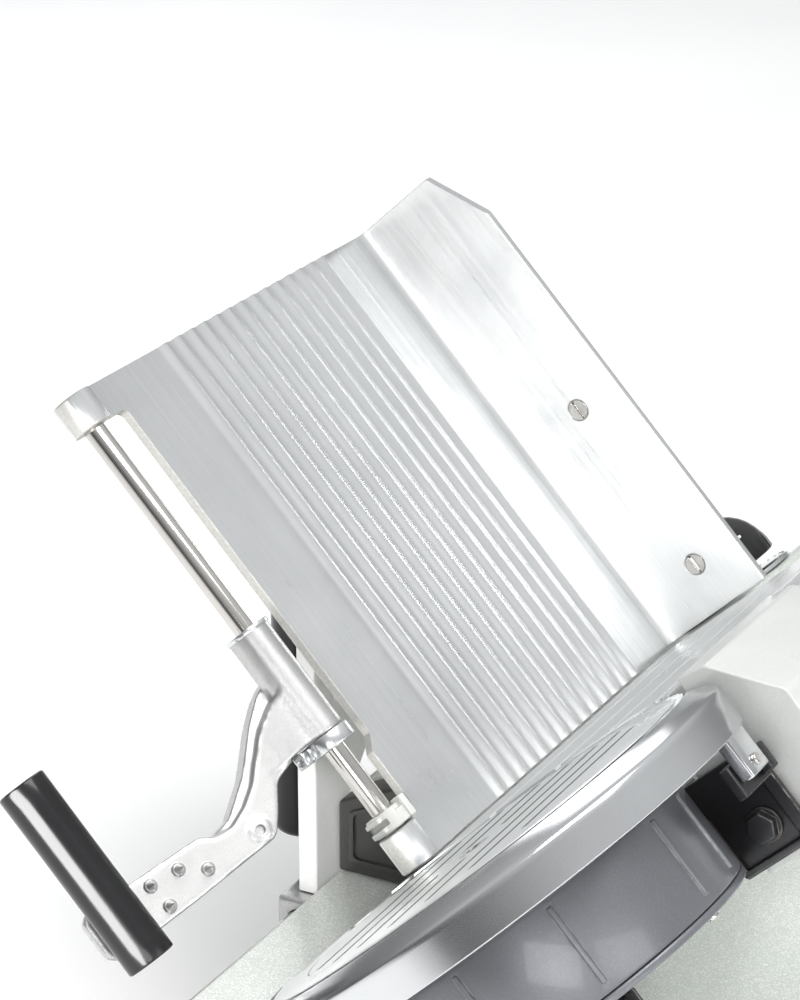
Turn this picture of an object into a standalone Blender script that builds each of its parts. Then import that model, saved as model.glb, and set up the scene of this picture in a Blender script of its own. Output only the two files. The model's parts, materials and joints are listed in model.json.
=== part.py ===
# Gravity-feed deli meat slicer, 250 mm blade, modelled as separate pieces.
#
# Sizes are in millimetres, in one of these frames:
#   machine frame: X to the operator's right, Y away from the operator, Z up from the table
#   tilted frame : x along X, f down the slope of the product tray towards the blade,
#                  n square to the tray floor; f = 0 is the lower edge of the tray
#   pusher frame : x outwards along the pusher arm, y along f, z off the arm's plate
# The axes f and n are the local Y and Z of the tilted frame.
import bpy
import bmesh
import math
from mathutils import Matrix, Vector, Euler

# ---------------------------------------------------------------- shared dimensions
METRES = 0.001                     # in one millimetre
TILT = math.radians(46.8)          # slope of the tray, and lean of the blade
TRAY_EDGE_Z = 170.0                # lower edge of the tray floor above the table
SHIFT_X = -217.5                   # these two put the model's origin under
SHIFT_Y = -16.7765                 # the centre of its bounding box
GAP = 0.3                          # between neighbouring castings
WALL = 4.0                         # of the base and of the motor cover

BASE_X = (-104.0, 500.0)
BASE_Y = (-118.0, 205.0)
BASE_Z = (22.0, 80.0)
RAISED_RIGHT = 172.0               # right end of the raised part of the base
RAISED_Z = 140.0                   # top of its front step
RAISED_BACK = -8.0                 # back of its front step
REAR_Z = 105.0                     # top of its rear step
REAR_BACK = 75.0                   # back of its rear step

# Axes are given by their two coordinates across the axis, in x, y, z order.
BLADE_R = 125.0
BLADE_X, BLADE_N = BLADE_AXIS = (398.0, 98.0)
MOTOR_N = 24.0
MOTOR_AXIS = (BLADE_X, MOTOR_N)
ROD_X, ROD_N = ROD_AXIS = (307.0, -6.5)     # rod the pusher slides on
ROD_R = 6.0
ROD_BORE_R = ROD_R + 0.4

# ---------------------------------------------------------------- a clean start
for ob in list(bpy.data.objects):
    bpy.data.objects.remove(ob, do_unlink=True)
for group in (bpy.data.meshes, bpy.data.curves, bpy.data.materials, bpy.data.collections):
    for block in list(group):
        group.remove(block)

parts = bpy.data.collections.new("deli_meat_slicer")
cutters = bpy.data.collections.new("cutters")
bpy.context.scene.collection.children.link(parts)
bpy.context.scene.collection.children.link(cutters)

# ---------------------------------------------------------------- materials
# kind: (base colour, roughness, metallic)
FINISH = {
    "paint": ((0.42, 0.45, 0.43), 0.38, 0.35),
    "casting_paint": ((0.30, 0.31, 0.33), 0.42, 0.35),
    "anodised": ((0.80, 0.81, 0.82), 0.32, 0.9),
    "cast_aluminium": ((0.72, 0.72, 0.73), 0.45, 0.9),
    "steel": ((0.62, 0.60, 0.58), 0.18, 1.0),
    "chrome": ((0.80, 0.81, 0.83), 0.08, 1.0),
    "dark_steel": ((0.10, 0.10, 0.10), 0.45, 0.8),
    "black_gloss": ((0.01, 0.01, 0.01), 0.12, 0.0),
    "black_rubber": ((0.02, 0.02, 0.02), 0.8, 0.0),
    "nylon": ((0.80, 0.79, 0.75), 0.5, 0.0),
    "hood": ((0.62, 0.63, 0.63), 0.4, 0.3),
    "stone": ((0.55, 0.30, 0.22), 0.9, 0.0),
    "green": ((0.02, 0.35, 0.08), 0.25, 0.0),
    "red": ((0.55, 0.02, 0.02), 0.25, 0.0),
    "amber": ((0.9, 0.45, 0.05), 0.1, 0.0),
}


def material(name, kind):
    colour, roughness, metallic = FINISH[kind]
    mat = bpy.data.materials.new(name)
    mat.use_nodes = True
    inputs = mat.node_tree.nodes["Principled BSDF"].inputs
    inputs["Base Color"].default_value = (*colour, 1.0)
    inputs["Roughness"].default_value = roughness
    inputs["Metallic"].default_value = metallic
    return mat


# ---------------------------------------------------------------- frames
def frame(name, location, rotation=(0, 0, 0), parent=None, size=30):
    ob = bpy.data.objects.new(name, None)
    ob.empty_display_size = size * METRES
    ob.location = Vector(location) * METRES
    ob.rotation_euler = rotation
    ob.parent = parent
    parts.objects.link(ob)
    return ob


MACHINE = frame("machine_frame", (SHIFT_X, SHIFT_Y, 0))
TILTED = frame("tilted_frame", (0, 0, TRAY_EDGE_Z), (-TILT, 0, 0), MACHINE)


# ---------------------------------------------------------------- shape helpers
# Shapes stand in the tilted frame unless another parent is given.
# A shape without a kind of finish is a hidden helper, to be joined or cut away.
def place(name, mesh, kind, parent, location=(0, 0, 0), rotation=(0, 0, 0)):
    ob = bpy.data.objects.new(name, mesh)
    ob.location = Vector(location) * METRES
    ob.rotation_euler = rotation
    ob.parent = parent
    if kind is None:
        cutters.objects.link(ob)
        ob.hide_render = True
        ob.display_type = "WIRE"
    else:
        parts.objects.link(ob)
        mesh.materials.append(material(ob.name, kind))
        for poly in mesh.polygons:
            poly.use_smooth = True
        mesh.set_sharp_from_angle(angle=math.radians(35))
    return ob


def to_mesh(name, shape):
    mesh = bpy.data.meshes.new(name)
    shape.to_mesh(mesh)
    shape.free()
    return mesh


def round_edges(shape, edges, bevel, segments):
    if bevel:
        bmesh.ops.bevel(shape, geom=edges, offset=bevel * METRES, segments=segments,
                        profile=0.5, affect="EDGES", clamp_overlap=True)


def inset(span, amount):
    """A span drawn in by amount at both ends."""
    return (span[0] + amount, span[1] - amount)


def midpoint(along, span, centre=(0, 0)):
    """Middle of a span on the axis through centre."""
    point = list(centre)
    point.insert("xyz".index(along), (span[0] + span[1]) / 2)
    return point


def box(name, x, y, z, kind=None, parent=TILTED, bevel=0.0, segments=2):
    """A block between two limits on each axis, its edges rounded by bevel."""
    shape = bmesh.new()
    bmesh.ops.create_cube(shape, size=1.0)
    size = Vector([high - low for low, high in (x, y, z)]) * METRES
    bmesh.ops.scale(shape, vec=size, verts=shape.verts)
    round_edges(shape, shape.edges[:], bevel, segments)
    centre = [(low + high) / 2 for low, high in (x, y, z)]
    return place(name, to_mesh(name, shape), kind, parent, centre)


ROD_TURN = {"x": Euler((0, math.pi / 2, 0)), "y": Euler((-math.pi / 2, 0, 0)), "z": Euler()}


def rod(name, along, centre, span, radius, kind=None, parent=TILTED, top=None,
        segments=24, bevel=0.0, rings=1):
    """A cylinder, or a cone ending in radius top; centre gives the other two coordinates."""
    shape = bmesh.new()
    bmesh.ops.create_cone(shape, cap_ends=True, cap_tris=False, segments=segments,
                          radius1=radius * METRES,
                          radius2=(radius if top is None else top) * METRES,
                          depth=(span[1] - span[0]) * METRES)
    rims = [e for e in shape.edges if abs(e.verts[0].co.z - e.verts[1].co.z) < 1e-9]
    round_edges(shape, rims, bevel, rings)
    return place(name, to_mesh(name, shape), kind, parent,
                 midpoint(along, span, centre), ROD_TURN[along])


def turned(name, profile, centre, kind=None, steps=24):
    """A profile of (radius, f) points turned about an axis along f.
    The profile runs down its outer side, and is closed unless it ends on the axis."""
    shape = bmesh.new()
    verts = [shape.verts.new((r * METRES, 0, f * METRES)) for r, f in profile]
    pairs = list(zip(verts, verts[1:]))
    if profile[0][0] > 0 and profile[-1][0] > 0:
        pairs.append((verts[-1], verts[0]))
    for pair in pairs:
        shape.edges.new(pair)
    ob = place(name, to_mesh(name, shape), kind, TILTED,
               (centre[0], 0, centre[1]), ROD_TURN["y"])
    screw = ob.modifiers.new("turn", "SCREW")
    screw.axis = "Z"
    screw.angle = math.tau
    screw.steps = steps
    screw.render_steps = steps
    screw.use_merge_vertices = True
    screw.merge_threshold = 0.00001
    screw.use_smooth_shade = True
    return ob


def curve_mesh(curve, points, dissolve=False, cyclic=False):
    """Mesh of a curve through points; the curve is used up."""
    spline = curve.splines.new("POLY")
    spline.points.add(len(points) - 1)
    for point, (x, y, z) in zip(spline.points, points):
        point.co = (x * METRES, y * METRES, z * METRES, 1)
    spline.use_cyclic_u = cyclic
    holder = bpy.data.objects.new("curve_holder", curve)
    cutters.objects.link(holder)
    bpy.context.view_layer.update()
    deps = bpy.context.evaluated_depsgraph_get()
    mesh = bpy.data.meshes.new_from_object(holder.evaluated_get(deps))
    mesh.name = curve.name
    bpy.data.objects.remove(holder, do_unlink=True)
    bpy.data.curves.remove(curve)
    shape = bmesh.new()
    shape.from_mesh(mesh)
    bmesh.ops.remove_doubles(shape, verts=shape.verts, dist=1e-6)
    if dissolve:
        bmesh.ops.dissolve_limit(shape, angle_limit=0.0005, verts=shape.verts,
                                 edges=shape.edges)
    bmesh.ops.recalc_face_normals(shape, faces=shape.faces)
    shape.to_mesh(mesh)
    shape.free()
    mesh.materials.clear()
    return mesh


PRISM_TURN = {"x": Matrix(((0, 0, 1), (1, 0, 0), (0, 1, 0))).to_euler(),
              "y": Euler((math.pi / 2, 0, 0)), "z": Euler()}


def prism(name, outline, along, span, kind=None, parent=TILTED):
    """A flat outline pushed along one axis. The outline's coordinates are
    (y, z) for x, (x, z) for y and (x, y) for z."""
    curve = bpy.data.curves.new(name, "CURVE")
    curve.dimensions = "2D"
    curve.fill_mode = "BOTH"
    curve.extrude = (span[1] - span[0]) / 2 * METRES
    mesh = curve_mesh(curve, [(*point, 0) for point in outline], dissolve=True, cyclic=True)
    return place(name, mesh, kind, parent, midpoint(along, span), PRISM_TURN[along])


def combine(ob, others, operation):
    for other in others:
        mod = ob.modifiers.new(other.name, "BOOLEAN")
        mod.operation = operation
        mod.solver = "EXACT"
        mod.object = other


def join(ob, *others):
    combine(ob, others, "UNION")


def cut(ob, *others):
    combine(ob, others, "DIFFERENCE")


def polar(centre, radius, degrees):
    return (centre[0] + radius * math.cos(math.radians(degrees)),
            centre[1] + radius * math.sin(math.radians(degrees)))


def arc(centre, radius, start, end, count):
    return [polar(centre, radius, start + (end - start) * i / count) for i in range(count + 1)]


# ---------------------------------------------------------------- base casting
CORD_AXIS = (440, 50)              # where the power cord leaves the back of the base
FRONT = BASE_Y[0]

base = box("base_housing", BASE_X, BASE_Y, BASE_Z, "paint", MACHINE, bevel=3)
join(base, prism("base_raised_part",
                 [(REAR_BACK, 50), (REAR_BACK, REAR_Z), (RAISED_BACK, REAR_Z),
                  (RAISED_BACK, RAISED_Z), (FRONT + 16, RAISED_Z),
                  (FRONT + 0.2, RAISED_Z - 16), (FRONT + 0.2, 50)],
                 "x", (BASE_X[0] + 0.2, RAISED_RIGHT), parent=MACHINE))
cut(base,
    box("base_hollow", inset(BASE_X, WALL), inset(BASE_Y, WALL),
        (BASE_Z[0] - 5, BASE_Z[1] - WALL), parent=MACHINE),
    prism("base_raised_hollow",
          [(REAR_BACK - WALL, 60), (REAR_BACK - WALL, REAR_Z - WALL),
           (RAISED_BACK - WALL, REAR_Z - WALL), (RAISED_BACK - WALL, RAISED_Z - WALL),
           (FRONT + 18, RAISED_Z - WALL), (FRONT + WALL, RAISED_Z - 18), (FRONT + WALL, 60)],
          "x", inset((BASE_X[0], RAISED_RIGHT), WALL), parent=MACHINE),
    box("motor_well", (353, 443), (50, 150), (70, 90), parent=MACHINE),
    rod("cord_hole", "y", CORD_AXIS, (195, 215), 7.0, parent=MACHINE),
    box("panel_window", (-84, -30), (-125, -108), (92, 122), parent=MACHINE))

COVER_Z = BASE_Z[0] + GAP
box("base_bottom_cover", inset(BASE_X, 5), inset(BASE_Y, 5), (COVER_Z, COVER_Z + 3),
    "dark_steel", MACHINE)

for side, foot_x in zip(("left", "right"), inset(BASE_X, 20)):
    for end, foot_y in zip(("front", "rear"), inset(BASE_Y, 22)):
        rod("foot_%s_%s" % (end, side), "z", (foot_x, foot_y), (0, BASE_Z[0]), 15.0,
            "black_rubber", MACHINE, top=18.0, bevel=1.5)

# ---------------------------------------------------------------- controls
# hole, hole radius, piece, finish, axis (x, z), span in y, radius, segments, bevel
CONTROLS = (
    ("start_hole", 9.4, "start_button", "green", (-74, 107), (-126, -116), 9.0, 24, 1.0),
    ("stop_hole", 9.4, "stop_button", "red", (-48, 107), (-127.5, -116), 9.0, 24, 1.0),
    ("lens_hole", 2.9, "indicator_lens", "amber", (-61, 122), (-122.5, -119), 2.6, 16, 0.6),
)
panel = box("control_panel", (-92, -22), (-120.6, -118.4), (86, 128), "black_gloss", MACHINE,
            bevel=0.6, segments=1)
for hole, hole_radius, piece, kind, axis, span, radius, segments, bevel in CONTROLS:
    cut(panel, rod(hole, "y", axis, (-125, -110), hole_radius, parent=MACHINE,
                   segments=segments))
    rod(piece, "y", axis, span, radius, kind, MACHINE, segments=segments, bevel=bevel)

# ---------------------------------------------------------------- power entry
gland = rod("cord_gland", "y", CORD_AXIS, (196, 222), 6.6, "black_rubber", MACHINE)
join(gland, rod("gland_flange", "y", CORD_AXIS, (205.4, 212), 10.5, parent=MACHINE))
cut(gland, rod("gland_bore", "y", CORD_AXIS, (190, 230), 4.2, parent=MACHINE))

CORD_START_Y = 198
CORD_R = 3.6
CORD_LOW_Z = 4.2                   # height of the cord's centre line over the table
CORD_BENDS = 24                    # steps after the straight start


def cord_point(i):
    """Point i: straight out at first, then falling in a sideways curve."""
    bend = max(0, i - 2)
    turn = bend / CORD_BENDS * math.pi
    out = 30 + 24 * math.sin(turn) if bend else i * 13.0
    return (CORD_AXIS[0] + 60 * math.sin(turn * 1.1) - 2.2 * bend,
            CORD_START_Y + out,
            max(CORD_LOW_Z, CORD_AXIS[1] - bend * 9.0))


cord = bpy.data.curves.new("power_cord", "CURVE")
cord.dimensions = "3D"
cord.bevel_depth = CORD_R * METRES
cord.bevel_resolution = 2
cord.use_fill_caps = True
cord_path = [cord_point(i) for i in range(CORD_BENDS + 3)]
place("power_cord", curve_mesh(cord, cord_path), "black_rubber", MACHINE)

rod("run_capacitor", "x", (120, 50), (200, 270), 17.0, "dark_steel", MACHINE, bevel=1.5)

# ---------------------------------------------------------------- blade housing
HOUSING_R = 98.0
HOUSING_FRONT = 31
HOUSING_BACK = 84
BEARING_SEAT_R = 26.4
BEARING_W = 11
PEDESTAL_Z = BASE_Z[1] + GAP

housing = turned("blade_housing",
                 [(BEARING_SEAT_R, HOUSING_BACK), (HOUSING_R, HOUSING_BACK),
                  (HOUSING_R, HOUSING_FRONT), (BEARING_SEAT_R, HOUSING_FRONT)],
                 BLADE_AXIS, "casting_paint", steps=32)
join(housing,
     prism("housing_pedestal",
           [(6, PEDESTAL_Z), (26.5, PEDESTAL_Z), (71, 122), (40, 128), (6, 128)],
           "x", (345, 451), parent=MACHINE),
     box("hood_lug", (303, 335), (40, 80), (130, 161.4)))
cut(housing,
    rod("housing_cavity", "y", BLADE_AXIS, (HOUSING_FRONT + 5, 95), HOUSING_R - 5),
    rod("bearing_seat", "y", BLADE_AXIS, (20, 60), BEARING_SEAT_R))

back_plate = rod("housing_back_plate", "y", BLADE_AXIS,
                 (HOUSING_BACK + GAP, HOUSING_BACK + GAP + 4), HOUSING_R, "casting_paint",
                 bevel=0.8)
join(back_plate, rod("rear_bearing_boss", "y", BLADE_AXIS, (74, 87), 30.0))
cut(back_plate, rod("rear_bearing_bore", "y", BLADE_AXIS, (70, 95), BEARING_SEAT_R),
    rod("rotor_pass", "y", MOTOR_AXIS, (70, 95), 8.0))

for name, start in (("bearing_front", 29.0), ("bearing_rear", 75.0)):
    turned(name, [(12.5, start + BEARING_W), (26.0, start + BEARING_W), (26.0, start),
                  (12.5, start)], BLADE_AXIS, "steel")

# ---------------------------------------------------------------- blade and drive
turned("blade",
       [(12.4, 6.0), (104.0, 6.0), (111.0, 5.0), (BLADE_R, 2.3), (BLADE_R, 2.0),
        (118.0, 3.4), (104.0, 4.0), (12.4, 4.0)],
       BLADE_AXIS, "chrome", steps=44)
turned("blade_shaft",
       [(5.0, 92), (12.0, 92), (12.0, 10.5), (32.0, 10.5), (32.0, 6.3), (12.0, 6.3),
        (12.0, 4.2), (5.0, 4.2)],
       BLADE_AXIS, "steel")
turned("blade_pulley",
       [(12.3, 66), (35.0, 66), (35.0, 64), (32.0, 63), (32.0, 53), (35.0, 52), (35.0, 50),
        (12.3, 50)],
       BLADE_AXIS, "cast_aluminium")
turned("motor_rotor",
       [(0.0, 150), (6.0, 150), (6.0, 66), (16.0, 66), (16.0, 64), (13.5, 63), (13.5, 53),
        (16.0, 52), (16.0, 50), (6.0, 50), (6.0, 44), (0.0, 44)],
       MOTOR_AXIS, "steel", steps=20)

BELT_BIG_R = 34.6                  # outer side of the belt round each pulley
BELT_SMALL_R = 16.0
BELT_T = 2


def belt_loop(big_radius, small_radius):
    """Outline of a belt round two pulleys, both in the plane of x and n."""
    lean = math.degrees(math.asin((big_radius - small_radius) / (BLADE_N - MOTOR_N)))
    return (arc(BLADE_AXIS, big_radius, -lean, 180 + lean, 20)
            + arc(MOTOR_AXIS, small_radius, 180 + lean, 360 - lean, 12))


belt = prism("drive_belt", belt_loop(BELT_BIG_R, BELT_SMALL_R), "y", (53.6, 62.4),
             "black_rubber")
cut(belt, prism("belt_inside", belt_loop(BELT_BIG_R - BELT_T, BELT_SMALL_R - BELT_T),
                "y", (50, 66)))

motor = rod("motor_body", "y", MOTOR_AXIS, (92, 158), 40.0, "dark_steel", bevel=3)
cut(motor, rod("rotor_bore", "y", MOTOR_AXIS, (85, 152), 6.5))

# The motor cover is open at the front and ends just above the base.
COVER_X = (BLADE_X - 50, BLADE_X + 50)
COVER_N = (-32, 74)
COVER_BACK = 172
cover = box("motor_cover", COVER_X, (75, COVER_BACK), COVER_N, "paint", bevel=8)
cut(cover,
    box("motor_cover_hollow", inset(COVER_X, WALL), (70, COVER_BACK - WALL),
        inset(COVER_N, WALL), bevel=5, segments=1),
    box("motor_cover_front", (340, 456), (60, 89.0), (-45, 90)),
    box("motor_cover_foot", (330, 466), (-20, 210), (0, PEDESTAL_Z), parent=MACHINE))

# ---------------------------------------------------------------- blade cover
# fixed plate over the middle of the blade, and the tie rod that holds it from behind
turned("blade_cover",
       [(4.6, 3.6), (99.0, 3.6), (100.0, 2.6), (100.0, 1.4), (98.6, 0.7), (4.6, 0.7)],
       BLADE_AXIS, "anodised", steps=28)
turned("cover_tie_knob",
       [(0.0, 120), (12.0, 120), (19.0, 117), (21.0, 112), (21.0, 100), (17.0, 96), (8.0, 95),
        (4.2, 95), (4.2, 1.2), (0.0, 1.2)],
       BLADE_AXIS, "black_gloss")

# ---------------------------------------------------------------- ring guard
# ring round the blade, open on the left, with a leg at its top and one at its foot
RING_IN = BLADE_R + 2
RING_OUT = 142.0
guard = turned("ring_guard",
               [(RING_OUT - 4, 28.0), (RING_OUT, 28.0), (RING_OUT, 9.0), (RING_OUT - 1, 7.6),
                (RING_IN + 1, 1.2), (RING_IN, 2.2), (RING_IN, 5.6), (RING_OUT - 4, 12.4)],
               BLADE_AXIS, "anodised", steps=48)
opening = [BLADE_AXIS] + [polar(BLADE_AXIS, 260, deg) for deg in (119, 150, 195, 240, 285)]
cut(guard, prism("guard_opening", opening, "y", (-10, 40)))
join(guard, box("guard_leg", (331, 350), (14, 52), (212.3, 220.5)),
     box("guard_lower_leg", (425, 437), (14, 30.5), (-43, -32)))

# angle bracket between the ring guard and the hood, and its bolt
BOLT_AXIS = (77, 191)              # f, n
bracket = prism("ring_bracket",
                [(318.5, 163), (322.8, 163), (322.8, 206), (352, 206), (352, 211.8),
                 (318.5, 211.8)],
                "y", (41, 96), "dark_steel")
cut(bracket, rod("bracket_hole", "x", BOLT_AXIS, (310, 330), 4.5),
    box("flange_cut", (323.5, 360), (58, 100), (200, 220)))
bolt = rod("bracket_bolt", "x", BOLT_AXIS, (323.1, 329.5), 8.2, "dark_steel", segments=6,
           bevel=0.5)
join(bolt, rod("bolt_shank", "x", BOLT_AXIS, (312, 325), 4.0, segments=20))

# ---------------------------------------------------------------- sharpener
# hood over the upper left of the blade; outlines are (f, n)
STONE_AXIS = (298, 188)
HOOD_OUTER = [(100, 172), (100, 230), (60, 243), (29, 244), (-2.5, 214.5), (-4.5, 197)]
HOOD_INNER = [(-1, 197), (0.8, 212.6), (30.4, 240.4), (59.6, 239.4), (96.5, 227.4), (96.5, 172)]
HOOD_SIDE = [(36, 197), (36, 172)] + HOOD_OUTER
hood = prism("sharpener_hood", HOOD_SIDE, "x", (314.5, 318), "hood")
join(hood, prism("hood_skin", HOOD_INNER + HOOD_OUTER, "x", (206, 317)),
     prism("hood_far_side", HOOD_SIDE, "x", (205, 208.5)))
cut(hood, rod("stone_hole", "y", STONE_AXIS, (90, 110), 5.5),
    rod("bolt_thread", "x", BOLT_AXIS, (310, 325), 4.4, segments=20))

turned("sharpening_stone",
       [(0, 107), (5.0, 107), (5.0, 30), (9.0, 30), (9.0, 24), (12.5, 24), (12.5, 14), (0, 14)],
       STONE_AXIS, "stone", steps=20)
turned("stone_button",
       [(0, 120), (7.0, 120), (9.0, 118), (9.0, 110), (7.0, 109), (6.0, 107.4), (0, 107.4)],
       STONE_AXIS, "black_gloss", steps=20)

# slice deflector behind the cutting edge
prism("slice_deflector",
      [(283, 10), (285.5, 9), (299.4, 40), (299.4, 76), (296.9, 76), (296.9, 40.6)],
      "z", (62, 136), "anodised")

# ---------------------------------------------------------------- gauge plate and its drive
GAUGE_LEFT = 22
GAUGE_LOW = -14
GAUGE_HIGH = 168
GAUGE_ARC_R = BLADE_R + 5.0        # its right edge follows the blade
GAUGE_STEPS = 14
GUIDE_AXIS = (-34, 16)
KNOB_AXIS = (-62, 16)

heights = [GAUGE_LOW + (GAUGE_HIGH - GAUGE_LOW) * i / GAUGE_STEPS
           for i in range(GAUGE_STEPS + 1)]
edge = [(BLADE_X - math.sqrt(GAUGE_ARC_R ** 2 - (n - BLADE_N) ** 2), n) for n in heights]
prism("gauge_plate", [(GAUGE_LEFT, GAUGE_LOW)] + edge + [(GAUGE_LEFT, GAUGE_HIGH)],
      "y", (1.2, 6.2), "anodised")

carrier = box("gauge_carrier", (-80, 100), (24, 38), (8, 28), "cast_aluminium")
join(carrier, box("carrier_block", (-80, -18), (22, 50), (3, 30)),
     box("carrier_link", (80, 104), (12, 37), (9, 27)),
     box("carrier_pad", (50, 134), (6.5, 14), (0, 60)))
cut(carrier, rod("guide_bore", "y", GUIDE_AXIS, (0, 80), 6.5),
    rod("screw_bore", "y", KNOB_AXIS, (0, 80), 5.5))

gauge_housing = box("gauge_housing", (-103, 14), (2.0, 76), (-8, 60), "paint", bevel=4)
join(gauge_housing,
     box("gauge_housing_foot", (-102, 13), (-3, 66), (REAR_Z + GAP, 138), parent=MACHINE))
cut(gauge_housing, box("gauge_housing_cavity", (-98, 30), (7, 70), (-2, 54)),
    rod("knob_shaft_hole", "y", KNOB_AXIS, (-5, 20), 5.5))
rod("gauge_guide_rod", "y", GUIDE_AXIS, (7.3, 69.7), 6.0, "steel")

turned("dial_ring", [(7, 1.7), (42.0, 1.7), (43.0, 0.9), (43.0, 0.0), (41.0, -1.4), (7, -1.4)],
       KNOB_AXIS, "anodised", steps=28)
rod("knob_shaft", "y", KNOB_AXIS, (-14, 62), 5.0, "steel")
turned("thickness_knob",
       [(0, -15), (5.3, -15), (5.3, -8), (37.5, -8), (38.0, -12), (36.0, -24), (31.0, -34),
        (22.0, -41), (10.0, -44.6), (0, -45)],
       KNOB_AXIS, "black_gloss")

# ---------------------------------------------------------------- carriage tray
TRAY_W = 300.0                     # wall face to the edge of the flat floor
TRAY_L = 305.0                     # along the slope
TRAY_T = 5.0
WALL_H = 79.0
RIBS = 14
RIB_PITCH = 13.3
RIB_FIRST = 223.0                  # x of the rightmost rib
RIB_H = 2.3
RIB_HALF_W = 4.2
BOSS_R = 11.5
SLOT_F = (-285, -22)               # gap in the tray between the two rod bosses


def tray_profile():
    """Section of the tray across the slope: thin floor with rounded ribs, and the wall."""
    points = [(-TRAY_T, -TRAY_T), (TRAY_W, -TRAY_T), (TRAY_W, 0)]
    shoulder = RIB_HALF_W * 0.62
    for i in range(RIBS):
        middle = RIB_FIRST - i * RIB_PITCH
        points += [(middle + RIB_HALF_W, 0), (middle + shoulder, RIB_H * 0.72),
                   (middle, RIB_H),
                   (middle - shoulder, RIB_H * 0.72), (middle - RIB_HALF_W, 0)]
    return points + [(4, 0), (1.2, 1.2), (0, 4), (0, WALL_H), (-TRAY_T, WALL_H)]


tray = prism("carriage_tray", tray_profile(), "y", (-TRAY_L, 0), "anodised")
join(tray, rod("boss_upper", "y", ROD_AXIS, (-TRAY_L, SLOT_F[0]), BOSS_R),
     rod("boss_lower", "y", ROD_AXIS, (SLOT_F[1], -0.2), BOSS_R))
slot = (arc((293, SLOT_F[0] + 10), 10, 180, 270, 5) + [(330, SLOT_F[0]), (330, SLOT_F[1])]
        + arc((300, SLOT_F[1] - 9), 9, 90, 180, 5) + [(291, -62), (283, -71)])
cut(tray, prism("rod_slot", slot, "z", (-30, 30)),
    prism("wall_corner",
          [(-310, 59.3), (-TRAY_L, 59.3), (-265.8, WALL_H), (-265.8, 90), (-310, 90)],
          "x", (-12, 5)),
    rod("rod_socket", "y", ROD_AXIS, (-297, -10), ROD_BORE_R))

# stiffener on the outer face of the tray wall, and its two countersunk screws
SCREW_HOLE_R = 3.4
stiffener = box("fence_stiffener", (-12.2, -5.3), (-170, -8), (34, 59), "cast_aluminium",
                bevel=1.2, segments=1)
for name, f in (("upper", -143.3), ("lower", -29.9)):
    axis = (f, 46.7)
    cut(tray, rod("screw_hole_" + name, "x", axis, (-8, 1), SCREW_HOLE_R, segments=20),
        rod("screw_sink_" + name, "x", axis, (-3.2, 0.2), SCREW_HOLE_R, top=6.9, segments=28))
    head = rod("fence_screw_" + name, "x", axis, (-3.0, -0.1), 3.0, "steel", top=6.2,
               segments=28)
    join(head, rod("fence_screw_shank_" + name, "x", axis, (-17, -2.9), 2.95, segments=20))
    cut(stiffener,
        rod("stiffener_hole_" + name, "x", axis, (-20, 0), SCREW_HOLE_R, segments=20))

rod("pusher_rod", "y", ROD_AXIS, (-296.5, -10.5), ROD_R, "steel")
bush = rod("rod_bushing", "y", ROD_AXIS, (-34, -23.2), 11.0, "nylon")
join(bush, box("bushing_lug", (297.6, 303), (-36.0, -23.2), (-2, 5)),
     box("bushing_tab", (312, 320.5), (-33, -24), (-12, -2)))
cut(bush, rod("bushing_bore", "y", ROD_AXIS, (-50, -10), ROD_BORE_R))

# ---------------------------------------------------------------- carriage arm and slide
# arm under the tray, its bearing on the slide rod, and the upright hand grip
SLIDE_AXIS = (-140, 43.5)          # y, z
arm = prism("carriage_arm",
            [(152, 58.4), (192, 58.4), (192, 302), (84, 302), (84, 214), (96, 160),
             (128, 132), (152, 106)],
            "y", (-146, -134), "cast_aluminium", MACHINE)
join(arm, box("arm_pad", (70, 250), (-240, -150), (-16, -5.3), bevel=2, segments=1))
cut(arm, prism("arm_window",
               [(118, 172), (172, 172), (176, 214), (176, 272), (104, 272), (104, 208)],
               "y", (-150, -130), parent=MACHINE))
bearing = box("slide_bearing", (142, 202), (-155, -125), (29, 58), "cast_aluminium", MACHINE,
              bevel=2.5)
cut(bearing, rod("slide_bore", "x", SLIDE_AXIS, (100, 250), 8.5, parent=MACHINE))
rod("slide_rod", "x", SLIDE_AXIS, (86, 498.4), 8.0, "steel", MACHINE, bevel=0.6)
# side, left face of the bracket, ends of its blind bore from that face
for side, start, bore in (("left", 84.0, (1.6, 20)), ("right", 487.0, (-5, 11.8))):
    block = box("rod_bracket_" + side, (start, start + 13), (-156, BASE_Y[0] - GAP), (28, 60),
                "cast_aluminium", MACHINE, bevel=2, segments=1)
    cut(block, rod("bracket_bore_" + side, "x", SLIDE_AXIS, (start + bore[0], start + bore[1]),
                   8.4, parent=MACHINE))

grip = rod("carriage_handle", "z", (138, -174), (68, 232), 17.5, "black_gloss", MACHINE,
           bevel=5, rings=2)
join(grip, rod("handle_stub", "y", (138, 150), (-170, -146.3), 8.0, parent=MACHINE))

# ---------------------------------------------------------------- pusher
# collar that slides on the rod, arm that turns on it, grip
collar = turned("pusher_collar", [(ROD_BORE_R, -76), (14.0, -76), (14.0, -84.6),
                                  (ROD_BORE_R, -84.6)],
                ROD_AXIS, "cast_aluminium")
join(collar, box("collar_lug", (317.5, 326), (-84.4, -76.2), (-19, -11.5), bevel=0.8,
                 segments=1))

SWING = math.radians(30)           # turn of the pusher arm about the rod
PUSHER = frame("pusher_frame", (ROD_X, 0, ROD_N), (0, SWING, 0), TILTED, size=20)
POST_X, POST_Y = POST_AXIS = (153, -71)

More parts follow.
